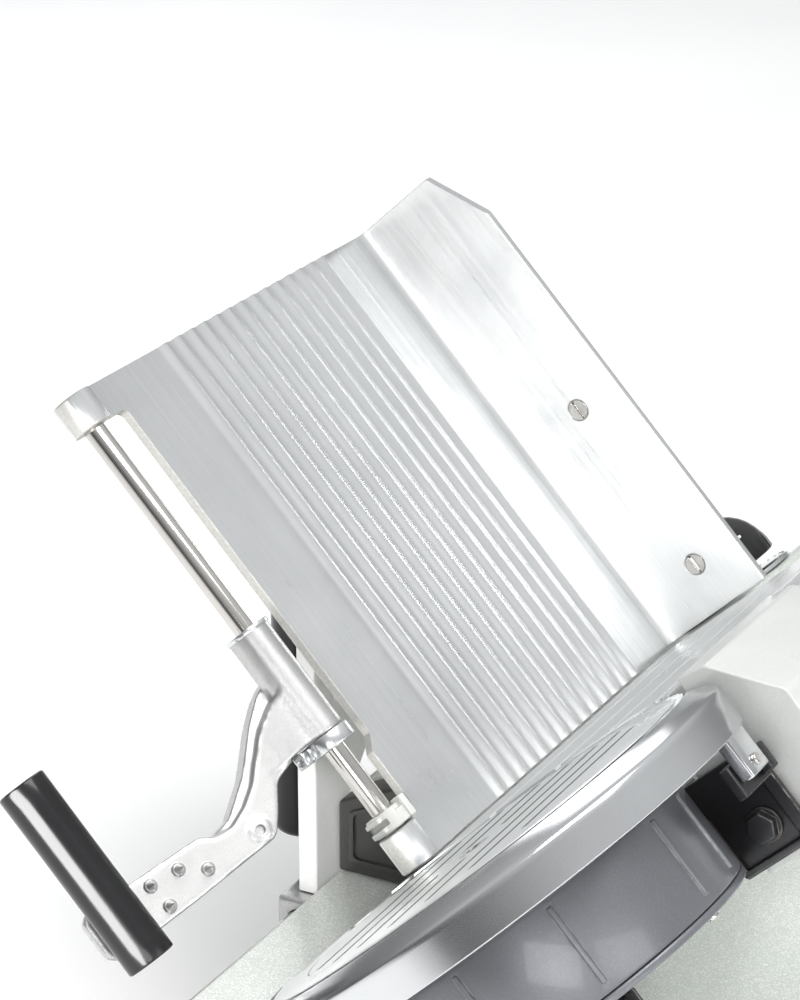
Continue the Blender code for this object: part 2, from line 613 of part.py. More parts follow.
# outlines are (x, y) in the pusher frame
PLATE = [(4, -85.1), (17, -85.1), (37, -80), (46, -68), (55, -58), (108, -57), (161, -57),
         (166, -61), (166, -82), (161, -86), (90, -82), (82, -75), (72, -74), (60, -80),
         (49, -87), (40, -96), (28, -107), (16, -114), (4, -118)]
FLANGE = [(8, -116), (16, -112), (30, -105), (50, -87), (70, -74.5), (84, -73.5),
          (84, -77), (70, -79), (50, -93), (30, -112), (18, -121), (10, -125)]
SPIKES = ((96, -66), (109, -75), (126, -77), (124, -63))

pusher = prism("pusher_arm", PLATE, "z", (-3, 3), "cast_aluminium", PUSHER)
join(pusher, prism("arm_flange", FLANGE, "z", (-15, -1), parent=PUSHER),
     rod("arm_sleeve", "y", (0, 0), (-154, -85), 12.5, parent=PUSHER),
     rod("grip_post", "z", POST_AXIS, (2, 12), 5.0, parent=PUSHER))
for i, axis in enumerate(SPIKES):
    join(pusher,
         rod("spike_base_%d" % i, "z", axis, (2.5, 4.2), 3.4, parent=PUSHER, segments=10),
         rod("spike_%d" % i, "z", axis, (3, 12), 2.0, parent=PUSHER, top=0.35, segments=8))
cut(pusher, rod("sleeve_bore", "y", (0, 0), (-170, -70), ROD_BORE_R, parent=PUSHER),
    rod("collar_clearance", "y", (0, 0), (-84.95, -70), 25.0, parent=PUSHER))
handle = rod("pusher_handle", "y", (POST_X, 17), (-157, -47), 13.5, "black_gloss", PUSHER,
             bevel=1.5, rings=2)
cut(handle, rod("post_hole", "z", POST_AXIS, (0, 12.5), 5.4, parent=PUSHER))
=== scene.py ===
import json
import math

import bmesh
import bpy
from mathutils import Matrix, Vector


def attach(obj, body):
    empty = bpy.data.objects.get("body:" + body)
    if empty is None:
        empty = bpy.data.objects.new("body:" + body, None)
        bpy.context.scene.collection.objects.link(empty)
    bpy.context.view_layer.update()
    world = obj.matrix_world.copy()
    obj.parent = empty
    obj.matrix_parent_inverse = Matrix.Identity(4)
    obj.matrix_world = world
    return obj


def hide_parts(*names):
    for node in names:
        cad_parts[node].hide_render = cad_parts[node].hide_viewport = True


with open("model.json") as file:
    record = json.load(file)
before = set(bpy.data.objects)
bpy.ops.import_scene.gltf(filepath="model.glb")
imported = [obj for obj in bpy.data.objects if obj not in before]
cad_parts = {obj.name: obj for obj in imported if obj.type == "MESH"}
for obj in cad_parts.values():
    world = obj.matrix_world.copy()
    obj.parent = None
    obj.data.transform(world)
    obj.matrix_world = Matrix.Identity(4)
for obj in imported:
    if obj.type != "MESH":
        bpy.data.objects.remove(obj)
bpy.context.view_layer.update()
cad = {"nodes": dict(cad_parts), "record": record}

MM = 0.001
TURN = {"x": Matrix.Rotation(math.pi / 2, 4, "Y"),
        "y": Matrix.Rotation(-math.pi / 2, 4, "X"),
        "z": Matrix.Identity(4)}


def shift(x, y, z):
    return Matrix.Translation((x * MM, y * MM, z * MM))


def spin(degrees):
    return Matrix.Rotation(math.radians(degrees), 4, "Z")


# Places shared by several pieces, as (x, n) unless noted.
ROD = (307.0, -6.5)  # pusher rod
ROD_R = 6.0
BLADE = BLADE_X, BLADE_N = 398.0, 98.0
STONE = (298, 188)
DIAL = (-62, 16)
BRACKET_BOLT = (77, 191)  # f, n
SLIDE = (-140, 43.5)  # machine y, z of the slide rod

MACHINE = shift(-217.5, -16.7765, 0)
TILTED = MACHINE @ shift(0, 0, 170) @ Matrix.Rotation(-math.radians(46.8), 4, "X")
ARM = TILTED @ shift(ROD[0], 0, ROD[1]) @ Matrix.Rotation(math.radians(30), 4, "Y")


def axis_at(x, height, base=TILTED):
    """Frame whose z runs along the base's second axis, through a point (x, height)."""
    return base @ shift(x, 0, height) @ TURN["y"]


BLADE_AXIS = axis_at(*BLADE)
STONE_AXIS = axis_at(*STONE)
DIAL_AXIS = axis_at(*DIAL)

scene = bpy.context.scene
shapes = bpy.data.collections.new("shapes")
scene.collection.children.link(shapes)
BODY_OF = {node: body for body, nodes in cad["record"]["behaviour"]["bodies"].items()
           for node in nodes}


# ---------------- node builders
class Nodes:
    """Adds and links nodes in the tree of a material or a world."""

    def __init__(self, owner):
        owner.use_nodes = True
        self.tree = owner.node_tree

    def put(self, node, socket, value):
        if isinstance(value, bpy.types.NodeSocket):
            self.tree.links.new(value, node.inputs[socket])
        else:
            node.inputs[socket].default_value = value

    def add(self, kind, inputs=None, **props):
        node = self.tree.nodes.new(kind)
        for key, value in props.items():
            setattr(node, key, value)
        for socket, value in (inputs or {}).items():
            self.put(node, socket, value)
        return node

    def math(self, op, a, b=0.0, clamp=False):
        return self.add("ShaderNodeMath", {0: a, 1: b}, operation=op, use_clamp=clamp).outputs[0]

    def ramp(self, value, span, to=(0.0, 1.0)):
        """Smooth step of a value over a span."""
        return self.add("ShaderNodeMapRange", {
            "Value": value, "From Min": span[0], "From Max": span[1],
            "To Min": to[0], "To Max": to[1]}, interpolation_type="SMOOTHSTEP").outputs[0]

    def mix(self, share, first, second):
        first, second = (c if isinstance(c, bpy.types.NodeSocket) else (*c, 1.0)
                         for c in (first, second))
        return self.add("ShaderNodeMix", {0: share, 6: first, 7: second},
                        data_type="RGBA").outputs[2]

    def place(self, scale=(1, 1, 1)):
        """The piece's own coordinates, in metres, stretched."""
        own = self.add("ShaderNodeTexCoord").outputs["Object"]
        return self.add("ShaderNodeMapping", {"Vector": own, "Scale": scale}).outputs[0]

    def around(self, across, along):
        """Coordinates for turned marks about the piece's z axis."""
        own = self.add("ShaderNodeTexCoord").outputs["Object"]
        x, y, z = self.add("ShaderNodeSeparateXYZ", {0: own}).outputs
        r = self.math("SQRT", self.math("ADD", self.math("MULTIPLY", x, x),
                                        self.math("MULTIPLY", y, y)))
        # cosine and sine keep the pattern joined where the angle wraps
        cosine = self.math("DIVIDE", x, self.math("MAXIMUM", r, 1e-5))
        sine = self.math("DIVIDE", y, self.math("MAXIMUM", r, 1e-5))
        node = self.add("ShaderNodeCombineXYZ")
        self.put(node, 0, self.math("ADD", self.math("MULTIPLY", r, across),
                                    self.math("MULTIPLY", cosine, along)))
        self.put(node, 1, self.math("MULTIPLY", sine, along))
        self.put(node, 2, self.math("MULTIPLY", z, across))
        return node.outputs[0]

    def noise(self, vector, scale, detail, rough, distort=0.0):
        return self.add("ShaderNodeTexNoise", {
            "Vector": vector, "Scale": scale, "Detail": detail, "Roughness": rough,
            "Distortion": distort}).outputs["Fac"]


class MaterialNodes(Nodes):
    def __init__(self, name):
        self.mat = bpy.data.materials.new(name)
        super().__init__(self.mat)
        self.bsdf = self.tree.nodes["Principled BSDF"]


def shade(colour, factor):
    return tuple(min(1.0, c * factor) for c in colour)


class Finish(MaterialNodes):
    """A finish whose colour, roughness and bump height are built up layer by layer."""

    def __init__(self, name, colour, second, rough, tint, smudge):
        super().__init__(name)
        self.plain = colour
        self.base = self.place()
        self.height = None
        big = self.noise(self.base, scale=9.0, detail=4.0, rough=0.6)
        mid = self.noise(self.base, scale=70.0, detail=4.0, rough=0.6, distort=0.3)
        self.colour = self.mix(self.ramp(big, (0.35, 0.65)), shade(colour, 1 - tint),
                               shade(second or colour, 1 + tint))
        self.tone(self.ramp(mid, (0.3, 0.7), to=(0.0, 0.35)), shade(colour, 1 - tint * 1.6))
        self.rough = self.ramp(big, (0.3, 0.7),
                               to=(rough * (1 - smudge * 2), rough * (1 + smudge * 2)))
        self.roughen(self.ramp(mid, (0.35, 0.75),
                               to=(-smudge * 0.4 * rough, smudge * 0.8 * rough)))

    def tone(self, share, colour):
        self.colour = self.mix(share, self.colour, colour)

    def roughen(self, value):
        self.rough = self.math("ADD", self.rough, value)

    def lift(self, value):
        self.height = value if self.height is None else self.math("ADD", self.height, value)

    def groove_place(self, direction, across, along, turned):
        if direction == "ring":
            return self.around(across, turned)
        return self.place(tuple(along if axis == direction else across for axis in "xyz"))

    def brush(self, direction, depth):
        where = self.groove_place(direction, across=2300, along=9, turned=1.6)
        fine = self.noise(where, scale=0.55, detail=3.0, rough=0.65)
        where = self.groove_place(direction, across=420, along=5, turned=1.1)
        broad = self.noise(where, scale=0.7, detail=2.0, rough=0.6)
        both = self.math("ADD", self.math("MULTIPLY", fine, 0.6),
                         self.math("MULTIPLY", broad, 0.4))
        self.tone(self.ramp(both, (0.3, 0.7), to=(0.0, depth)), shade(self.plain, 0.62))
        self.roughen(self.ramp(both, (0.3, 0.7), to=(-0.2 * depth, 0.28 * depth)))
        self.lift(self.math("MULTIPLY", both, depth))

    def grain(self, amount, size):
        fine = self.noise(self.base, scale=1000.0 / size, detail=5.0, rough=0.65)
        broad = self.noise(self.base, scale=260.0 / size, detail=3.0, rough=0.5)
        both = self.math("ADD", self.math("MULTIPLY", fine, 0.7),
                         self.math("MULTIPLY", broad, 0.5))
        share = min(1, amount)
        self.tone(self.ramp(fine, (0.25, 0.75), to=(0.0, 0.5 * share)), shade(self.plain, 0.72))
        self.roughen(self.ramp(fine, (0.3, 0.7), to=(-0.06, 0.10 * share)))
        self.lift(self.math("MULTIPLY", both, amount))

    def flakes(self, amount):
        """Metallic sparkle, with the soft waves of sprayed paint."""
        cells = self.add("ShaderNodeTexVoronoi", {"Vector": self.base, "Scale": 1500.0})
        split = self.add("ShaderNodeSeparateColor", {0: cells.outputs["Color"]})
        sparkle = self.ramp(split.outputs[0], (0.55, 1.0), to=(0.0, amount))
        self.tone(sparkle, shade(self.plain, 1.7))
        self.rough = self.math("SUBTRACT", self.rough, self.math("MULTIPLY", sparkle, 0.12))
        waves = self.noise(self.base, scale=420.0, detail=2.0, rough=0.5)
        self.lift(self.math("MULTIPLY", waves, 0.35))

    def scratches(self, amount, factor):
        marks = None
        for k, stretch in enumerate(((60, 900, 700), (800, 50, 900), (500, 420, 60))):
            lines = self.noise(self.place(stretch), scale=1.0 + 0.3 * k, detail=2.0, rough=0.4,
                               distort=0.6)
            lines = self.ramp(lines, (0.70, 0.78))
            marks = lines if marks is None else self.math("MAXIMUM", marks, lines)
        patch = self.ramp(self.noise(self.base, scale=28.0, detail=2.0, rough=0.5), (0.45, 0.65))
        marks = self.math("MULTIPLY", self.math("MULTIPLY", marks, patch), amount)
        self.tone(marks, shade(self.plain, factor))
        self.roughen(self.math("MULTIPLY", marks, 0.25))

    def bevel_normal(self, radius):
        return self.add("ShaderNodeBevel", {"Radius": radius * MM}, samples=4).outputs[0]

    def wear(self, amount, colour, rough, width):
        """Torn patches of another colour along the edges."""
        wide = self.bevel_normal(width)
        facing = self.add("ShaderNodeNewGeometry").outputs["Normal"]
        dot = self.add("ShaderNodeVectorMath", {0: wide, 1: facing}, operation="DOT_PRODUCT")
        near = self.ramp(self.math("SUBTRACT", 1.0, dot.outputs["Value"]), (0.01, 0.20))
        torn = self.ramp(self.noise(self.base, scale=160.0, detail=4.0, rough=0.65),
                         (0.36, 0.62))
        worn = self.math("MULTIPLY", self.math("MULTIPLY", near, torn), amount, clamp=True)
        self.tone(worn, colour)
        kept = self.math("MULTIPLY", self.rough, self.math("SUBTRACT", 1.0, worn))
        self.rough = self.math("ADD", kept, self.math("MULTIPLY", worn, rough))

    def nook_shade_and_grime(self, amount, colour):
        """Painted shade with grime: colour darkened in the corners and recesses that ambient
        occlusion finds, in noisy patches.
        """
        nook = self.add("ShaderNodeAmbientOcclusion", {"Distance": 0.008}, samples=4)
        nook_shade_and_grime = self.math("MULTIPLY",
                         self.ramp(nook.outputs["AO"], (0.35, 0.85), to=(1.0, 0.0)),
                         self.ramp(self.noise(self.base, scale=90.0, detail=4.0, rough=0.6),
                                   (0.3, 0.7)))
        nook_shade_and_grime = self.math("MULTIPLY", nook_shade_and_grime, amount, clamp=True)
        self.tone(nook_shade_and_grime, colour)
        self.roughen(self.math("MULTIPLY", nook_shade_and_grime, 0.3))

    def connect(self, rounded_normal):
        bump = self.add("ShaderNodeBump", {"Strength": 0.5, "Distance": 0.00008,
                                           "Normal": rounded_normal})
        if self.height is None:
            fine = self.noise(self.base, scale=500.0, detail=3.0, rough=0.6)
            self.lift(self.math("MULTIPLY", fine, 0.3))
        self.put(bump, "Height", self.height)
        self.put(self.bsdf, "Normal", bump.outputs[0])
        self.put(self.bsdf, "Base Color", self.colour)
        self.put(self.bsdf, "Roughness",
                 self.math("MINIMUM", self.math("MAXIMUM", self.rough, 0.03), 1.0))

    def stretch_highlights(self, direction, amount):
        """Highlights stretch square to the grooves: groove direction crossed with the normal."""
        groove = self.add("ShaderNodeCombineXYZ",
                          {k: 1.0 if axis == direction else 0.0 for k, axis in enumerate("xyz")})
        turned = self.add("ShaderNodeVectorTransform", {0: groove.outputs[0]},
                          vector_type="VECTOR", convert_from="OBJECT", convert_to="WORLD")
        facing = self.add("ShaderNodeNewGeometry").outputs["Normal"]
        cross = self.add("ShaderNodeVectorMath", {0: facing, 1: turned.outputs[0]},
                         operation="CROSS_PRODUCT")
        self.put(self.bsdf, "Tangent", cross.outputs["Vector"])
        self.put(self.bsdf, "Anisotropic", amount)


def surface(name, colour, rough, metal, tint, round_mm, lines=None, line_depth=0.0, grain=0.0,
            grain_size=1.2, flake=0.0, edge=0.0, edge_colour=None, edge_rough=0.3, coat=0.0,
            grime_and_nook_shade=0.0, grime_and_nook_shade_colour=(0.1, 0.1, 0.09), scratch=0.0, spec=0.5, second=None,
            smudge=0.06, aniso=0.0):
    """A finish, whose grime also paints shade into the nooks. lines is the direction of its
    brushing: x, y, or ring for turned work.
    """
    m = Finish(name, colour, second, rough, tint, smudge)
    if lines:
        m.brush(lines, line_depth)
    if grain:
        m.grain(grain, grain_size)
    if flake:
        m.flakes(flake)
    if scratch:
        m.scratches(scratch, factor=1.5 if metal < 0.5 else 0.7)
    rounded_normal = m.bevel_normal(round_mm)
    if edge:
        m.wear(edge, edge_colour, edge_rough, width=max(1.1, round_mm * 1.5))
    # painted shade in the nooks, mixed with grime
    if grime_and_nook_shade:
        m.nook_shade_and_grime(grime_and_nook_shade, grime_and_nook_shade_colour)
    m.connect(rounded_normal)
    m.put(m.bsdf, "Metallic", metal)
    m.put(m.bsdf, "Specular IOR Level", spec)
    if aniso:
        m.stretch_highlights(lines, aniso)
    if coat:
        m.put(m.bsdf, "Coat Weight", coat)
        m.put(m.bsdf, "Coat Roughness", 0.06)
    return m.mat


# grime darkens the nooks of each finish: painted shade mixed with grime
MATERIALS = {
    "tray": surface(
        "anodised_brushed_f", colour=(0.80, 0.81, 0.81), rough=0.34, metal=0.95, tint=0.03,
        lines="y", line_depth=0.34, round_mm=0.9, scratch=0.2, grime_and_nook_shade=0.1, aniso=0.75),
    "tray_cast": surface(
        "tray_cast_sides", colour=(0.70, 0.69, 0.66), rough=0.48, metal=0.85, tint=0.06,
        grain=1.4, grain_size=1.6, round_mm=0.9, grime_and_nook_shade=0.35),
    "aluminium_x": surface(
        "anodised_brushed_x", colour=(0.84, 0.85, 0.85), rough=0.30, metal=0.80, tint=0.03,
        lines="x", line_depth=0.02, round_mm=0.2, scratch=0.05),
    "aluminium_ring": surface(
        "anodised_turned", colour=(0.64, 0.65, 0.66), rough=0.16, metal=0.97, tint=0.03,
        lines="ring", line_depth=0.06, round_mm=0.5, scratch=0.12),
    "satin": surface(
        "satin_aluminium", colour=(0.72, 0.73, 0.74), rough=0.26, metal=0.97, tint=0.04,
        grain=0.15, grain_size=0.9, round_mm=0.6),
    "leg": surface(
        "cast_aluminium_bright", colour=(0.80, 0.80, 0.79), rough=0.40, metal=0.35, tint=0.05,
        grain=0.5, grain_size=0.9, round_mm=0.8, edge=0.3, edge_colour=(0.95, 0.95, 0.94),
        scratch=0.15),
    "cast": surface(
        "cast_aluminium_blasted", colour=(0.62, 0.62, 0.615), rough=0.36, metal=0.95, tint=0.09,
        grain=1.0, grain_size=1.4, round_mm=1.0, edge=0.35, edge_colour=(0.86, 0.86, 0.86),
        edge_rough=0.25, grime_and_nook_shade=0.35, scratch=0.2),
    "steel": surface(
        "ground_steel_turned", colour=(0.62, 0.60, 0.575), rough=0.13, metal=1.0, tint=0.04,
        lines="ring", line_depth=0.03, round_mm=0.4, scratch=0.1),
    "chrome": surface(
        "blade_chrome_turned", colour=(0.82, 0.84, 0.87), rough=0.07, metal=1.0, tint=0.03,
        lines="ring", line_depth=0.05, round_mm=0.15, scratch=0.15),
    "paint": surface(
        "sage_silver_paint", colour=(0.58, 0.62, 0.575), rough=0.38, metal=0.2, tint=0.06,
        flake=0.5, round_mm=1.2, edge=0.25, edge_colour=(0.72, 0.73, 0.70), coat=0.25,
        grime_and_nook_shade=0.35, second=(0.53, 0.55, 0.52), scratch=0.3),
    # the base's sage paint darkened into painted shade, for the housing behind the blade
    "casting": surface(
        "painted_shade_dark_paint", colour=(0.17, 0.175, 0.19), rough=0.36, metal=0.5, tint=0.05,
        flake=0.14, round_mm=1.2, edge=0.5, edge_colour=(0.62, 0.62, 0.62), coat=0.3,
        grime_and_nook_shade=0.3, scratch=0.25),
    "hood": surface(
        "light_grey_enamel", colour=(0.60, 0.61, 0.595), rough=0.32, metal=0.15, tint=0.04,
        flake=0.08, round_mm=1.2, edge=0.2, edge_colour=(0.8, 0.8, 0.8), coat=0.35,
        grime_and_nook_shade=0.3, scratch=0.2),
    "dark_steel": surface(
        "oxide_steel", colour=(0.075, 0.075, 0.08), rough=0.38, metal=0.85, tint=0.12,
        grain=0.8, grain_size=1.0, round_mm=0.8, edge=0.9, edge_colour=(0.45, 0.42, 0.38),
        edge_rough=0.25, grime_and_nook_shade=0.3, grime_and_nook_shade_colour=(0.12, 0.09, 0.06), scratch=0.5),
    "black": surface(
        "phenolic_black", colour=(0.006, 0.006, 0.0065), rough=0.20, metal=0.0, tint=0.15,
        round_mm=0.8, coat=0.12, scratch=0.12, smudge=0.08, spec=0.35),
    "panel": surface(
        "panel_black", colour=(0.016, 0.016, 0.018), rough=0.28, metal=0.0, tint=0.12,
        grain=0.5, grain_size=0.7, round_mm=0.5, scratch=0.2),
    "rubber": surface(
        "rubber_black", colour=(0.020, 0.020, 0.021), rough=0.62, metal=0.0, tint=0.2,
        grain=1.0, grain_size=0.9, round_mm=0.8, grime_and_nook_shade=0.3, grime_and_nook_shade_colour=(0.10, 0.095, 0.085)),
    "nylon": surface(
        "nylon_natural", colour=(0.66, 0.665, 0.64), rough=0.42, metal=0.0, tint=0.05,
        grain=0.7, grain_size=1.1, round_mm=0.6, grime_and_nook_shade=0.35, grime_and_nook_shade_colour=(0.42, 0.38, 0.30),
        scratch=0.25),
    "stone": surface(
        "grinding_stone", colour=(0.46, 0.24, 0.18), rough=0.92, metal=0.0, tint=0.12,
        grain=1.8, grain_size=1.4, round_mm=0.4, flake=0.3),
    "green": surface("button_green", colour=(0.012, 0.26, 0.055), rough=0.2, metal=0.0,
                     tint=0.06, round_mm=0.5, coat=0.5),
    "red": surface("button_red", colour=(0.50, 0.012, 0.012), rough=0.2, metal=0.0,
                   tint=0.06, round_mm=0.5, coat=0.5),
    "amber": surface("lens_amber", colour=(0.85, 0.34, 0.03), rough=0.08, metal=0.0,
                     tint=0.05, round_mm=0.3, coat=0.8),
    # charcoal that paints the shade on the side of the raised part
    "shaded_side_trim": surface(
        "charcoal_painted_shade", colour=(0.055, 0.052, 0.048), rough=0.32, metal=0.0, tint=0.12,
        grain=0.6, grain_size=1.2, round_mm=0.6, coat=0.2, scratch=0.3, grime_and_nook_shade=0.2),
    # dial print, and also the painted shade strips in the cover's grooves
    "print_and_groove_shade": surface("dial_print_and_groove_shade", colour=(0.02, 0.02, 0.022), rough=0.4, metal=0.0,
                   tint=0.1, grain=0.3, round_mm=0.1),
    "white_mark": surface("engraved_white", colour=(0.85, 0.85, 0.83), rough=0.5, metal=0.0,
                          tint=0.04, grain=0.4, round_mm=0.1),
}


# ---------------- mesh builders
def smooth_faces(mesh):
    for poly in mesh.polygons:
        poly.use_smooth = True
    mesh.set_sharp_from_angle(angle=math.radians(35))


def make(name, bm, matrix):
    mesh = bpy.data.meshes.new(name)
    bmesh.ops.recalc_face_normals(bm, faces=bm.faces)
    bm.to_mesh(mesh)
    bm.free()
    ob = bpy.data.objects.new(name, mesh)
    shapes.objects.link(ob)
    ob.matrix_world = matrix
    smooth_faces(mesh)
    return ob


def bevel_edges(bm, edges, width, segments):
    if width:
        bmesh.ops.bevel(bm, geom=edges, offset=width * MM, segments=segments, profile=0.5,
                        affect="EDGES", clamp_overlap=True)


def box(name, x, y, z, matrix=TILTED, bevel=0.0, segments=3):
    """A block from its three spans."""
    bm = bmesh.new()
    bmesh.ops.create_cube(bm, size=1.0)
    size = Vector((x[1] - x[0], y[1] - y[0], z[1] - z[0])) * MM
    bmesh.ops.scale(bm, vec=size, verts=bm.verts)
    bevel_edges(bm, bm.edges[:], bevel, segments)
    centre = Vector(((x[0] + x[1]) / 2, (y[0] + y[1]) / 2, (z[0] + z[1]) / 2)) * MM
    bmesh.ops.translate(bm, vec=centre, verts=bm.verts)
    return make(name, bm, matrix)


def lathe(name, profile, matrix, steps=96):
    """Closed turned body: (radius, z) points, turned about the matrix's z axis."""
    bm = bmesh.new()
    rings = []
    for r, z in profile:
        if r < 1e-6:
            rings.append([bm.verts.new((0, 0, z * MM))])
        else:
            rings.append([bm.verts.new((r * MM * math.cos(math.tau * i / steps),
                                        r * MM * math.sin(math.tau * i / steps), z * MM))
                          for i in range(steps)])
    pairs = list(zip(rings, rings[1:]))
    if profile[0][0] > 1e-6 and profile[-1][0] > 1e-6:
        pairs.append((rings[-1], rings[0]))
    for a, b in pairs:
        for i in range(steps):
            j = (i + 1) % steps
            if len(a) == 1 and len(b) == 1:
                continue
            if len(a) == 1:
                bm.faces.new((a[0], b[i], b[j]))
            elif len(b) == 1:
                bm.faces.new((a[i], b[0], a[j]))
            else:
                bm.faces.new((a[i], b[i], b[j], a[j]))
    return make(name, bm, matrix)


def rod(name, along, centre, span, radius, matrix=TILTED, steps=64, bevel=0.0, top=None):
    """A turned cylinder along an axis, its rims rounded; its own z runs along the axis."""
    start, end = span
    top = radius if top is None else top
    where = {"x": (0, centre[0], centre[1]), "y": (centre[0], 0, centre[1]),
             "z": (centre[0], centre[1], 0)}[along]
    profile = [(0, start)]
    if bevel:
        turns = [k * math.pi / 8 for k in range(5)]
        profile += [(radius - bevel + bevel * math.sin(t), start + bevel - bevel * math.cos(t))
                    for t in turns]
        profile += [(top - bevel + bevel * math.cos(t), end - bevel + bevel * math.sin(t))
                    for t in turns]
    else:
        profile += [(radius, start), (top, end)]
    profile.append((0, end))
    place = matrix @ Matrix.Translation(Vector(where) * MM) @ TURN[along]
    return lathe(name, profile, place, steps)


def rounded(points, radius, count=5):
    """A closed outline with its corners rounded; radius is a number or a list, one per corner."""
    radii = radius if isinstance(radius, list) else [radius] * len(points)
    out = []
    for i, (point, r) in enumerate(zip(points, radii)):
        corner = Vector(point)
        a = Vector(points[i - 1]) - corner
        b = Vector(points[(i + 1) % len(points)]) - corner
        len_a, len_b = a.length, b.length
        a.normalize()
        b.normalize()
        angle = math.acos(max(-1, min(1, a.dot(b))))
        if r <= 0 or angle > math.radians(176):
            out.append(point)
            continue
        setback = min(r / math.tan(angle / 2), len_a * 0.46, len_b * 0.46)
        r = setback * math.tan(angle / 2)
        c = corner + (a + b).normalized() * (r / math.sin(angle / 2))
        first, last = corner + a * setback, corner + b * setback
        a0 = math.atan2(first.y - c.y, first.x - c.x)
        a1 = math.atan2(last.y - c.y, last.x - c.x)
        sweep = (a1 - a0 + math.pi) % math.tau - math.pi
        for k in range(count + 1):
            t = a0 + sweep * k / count
            out.append((c.x + r * math.cos(t), c.y + r * math.sin(t)))
    return out


def prism(name, outline, along, span, matrix=TILTED, bevel=0.0, segments=2):
    """An outline pushed along one axis: (y, z) for x, (x, z) for y, (x, y) for z."""
    bm = bmesh.new()

    def put(point, h):
        a, b = point
        return {"x": (h, a, b), "y": (a, h, b), "z": (a, b, h)}[along]
    low = [bm.verts.new(Vector(put(p, span[0])) * MM) for p in outline]
    high = [bm.verts.new(Vector(put(p, span[1])) * MM) for p in outline]
    n = len(outline)
    for i in range(n):
        bm.faces.new((low[i], low[(i + 1) % n], high[(i + 1) % n], high[i]))
    caps = [bm.faces.new(low[::-1]), bm.faces.new(high)]
    bmesh.ops.recalc_face_normals(bm, faces=bm.faces)
    bevel_edges(bm, [e for cap in caps for e in cap.edges], bevel, segments)
    return make(name, bm, matrix)


def bake(ob, spent=()):
    """The evaluated mesh becomes the object's own, and the shapes used up are removed."""
    bpy.context.view_layer.update()
    deps = bpy.context.evaluated_depsgraph_get()
    mesh = bpy.data.meshes.new_from_object(ob.evaluated_get(deps))
    ob.modifiers.clear()
    ob.data = mesh
    for other in spent:
        bpy.data.objects.remove(other, do_unlink=True)
    smooth_faces(mesh)
    return ob


def boolean(ob, others, how):
    for other in others:
        mod = ob.modifiers.new("op", "BOOLEAN")
        mod.operation = how
        mod.solver = "EXACT"
        mod.object = other
    return bake(ob, others)


def cut(ob, *others):
    return boolean(ob, others, "DIFFERENCE")


def join(ob, *others):
    return boolean(ob, others, "UNION")


def common(ob, *others):
    return boolean(ob, others, "INTERSECT")


def soften(ob, width, segments, angle=50):
    """Rounded edges, left as a modifier."""
    mod = ob.modifiers.new("edges", "BEVEL")
    mod.width = width * MM
    mod.segments = segments
    mod.limit_method = "ANGLE"
    mod.angle_limit = math.radians(angle)
    mod.harden_normals = False
    mod.use_clamp_overlap = True


def show(ob, kind, *nodes, body=None):
    """The finished piece: its material, the body it rides on, and the nodes it stands for."""
    if not ob.data.materials:
        ob.data.materials.append(MATERIALS[kind])
    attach(ob, body or BODY_OF[nodes[0]])
    if nodes:
        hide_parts(*nodes)


def arc(cx, cy, r, a0, a1, count):
    return [(cx + r * math.cos(math.radians(a0 + (a1 - a0) * i / count)),
             cy + r * math.sin(math.radians(a0 + (a1 - a0) * i / count)))
            for i in range(count + 1)]


def upright_slot(x, half, low, high, radius, count):
    """Outline of a round-ended slot about x."""
    return rounded([(x - half, low), (x + half, low), (x + half, high), (x - half, high)],
                   radius, count)


def flutes(count, centre_r, span, radius, matrix, steps):
    """Cutters for grip flutes, spaced evenly about the matrix's z axis."""
    return [rod("flute", "z", (centre_r * math.cos(math.tau * k / count),
                               centre_r * math.sin(math.tau * k / count)),
                span, radius, matrix, steps=steps) for k in range(count)]


def waist(radius, depth, start, length):
    """Profile points between the ends of a grip, thinner in the middle by depth."""
    return [(radius - depth * math.sin(math.pi * k / 12), start + length * k / 12)
            for k in range(1, 12)]


# ---------------- product tray
RIBS, RIB_PITCH, RIB_FIRST, RIB_HALF, RIB_HEIGHT = 14, 13.3, 223.0, 5.6, 2.3
WALL_HEIGHT = 79.0
FENCE_SCREWS = (("upper", -143.3), ("lower", -29.9))  # name, f
FENCE_SCREW_N = 46.7


def rib_height(x):
    for i in range(RIBS):
        d = abs(x - (RIB_FIRST - i * RIB_PITCH))
        if d < RIB_HALF:
            return RIB_HEIGHT * (0.5 + 0.5 * math.cos(math.pi * d / RIB_HALF)) ** 0.72
    return 0.0


def tray_outline():
    """(x, n) section: floor from the left corner, ribs back towards the left, then the wall."""
    points = arc(-3.5, -3.5, 1.5, 180, 270, 4) + arc(299, -4, 1.0, 270, 360, 4)
    points += arc(299.2, -0.8, 0.8, 0, 90, 4)
    points += [(270.0, 0.0), (250.0, 0.0), (230.0, 0.0)]
    x = RIB_FIRST + RIB_HALF
    while x > 44.6:
        points.append((x, rib_height(x)))
        x -= 0.62
    points += arc(5.5, 5.5, 5.5, 270, 180, 8)
    points += arc(-1.2, WALL_HEIGHT - 1.2, 1.2, 0, 90, 4)
    return points + arc(-3.8, WALL_HEIGHT - 1.2, 1.2, 90, 180, 4)


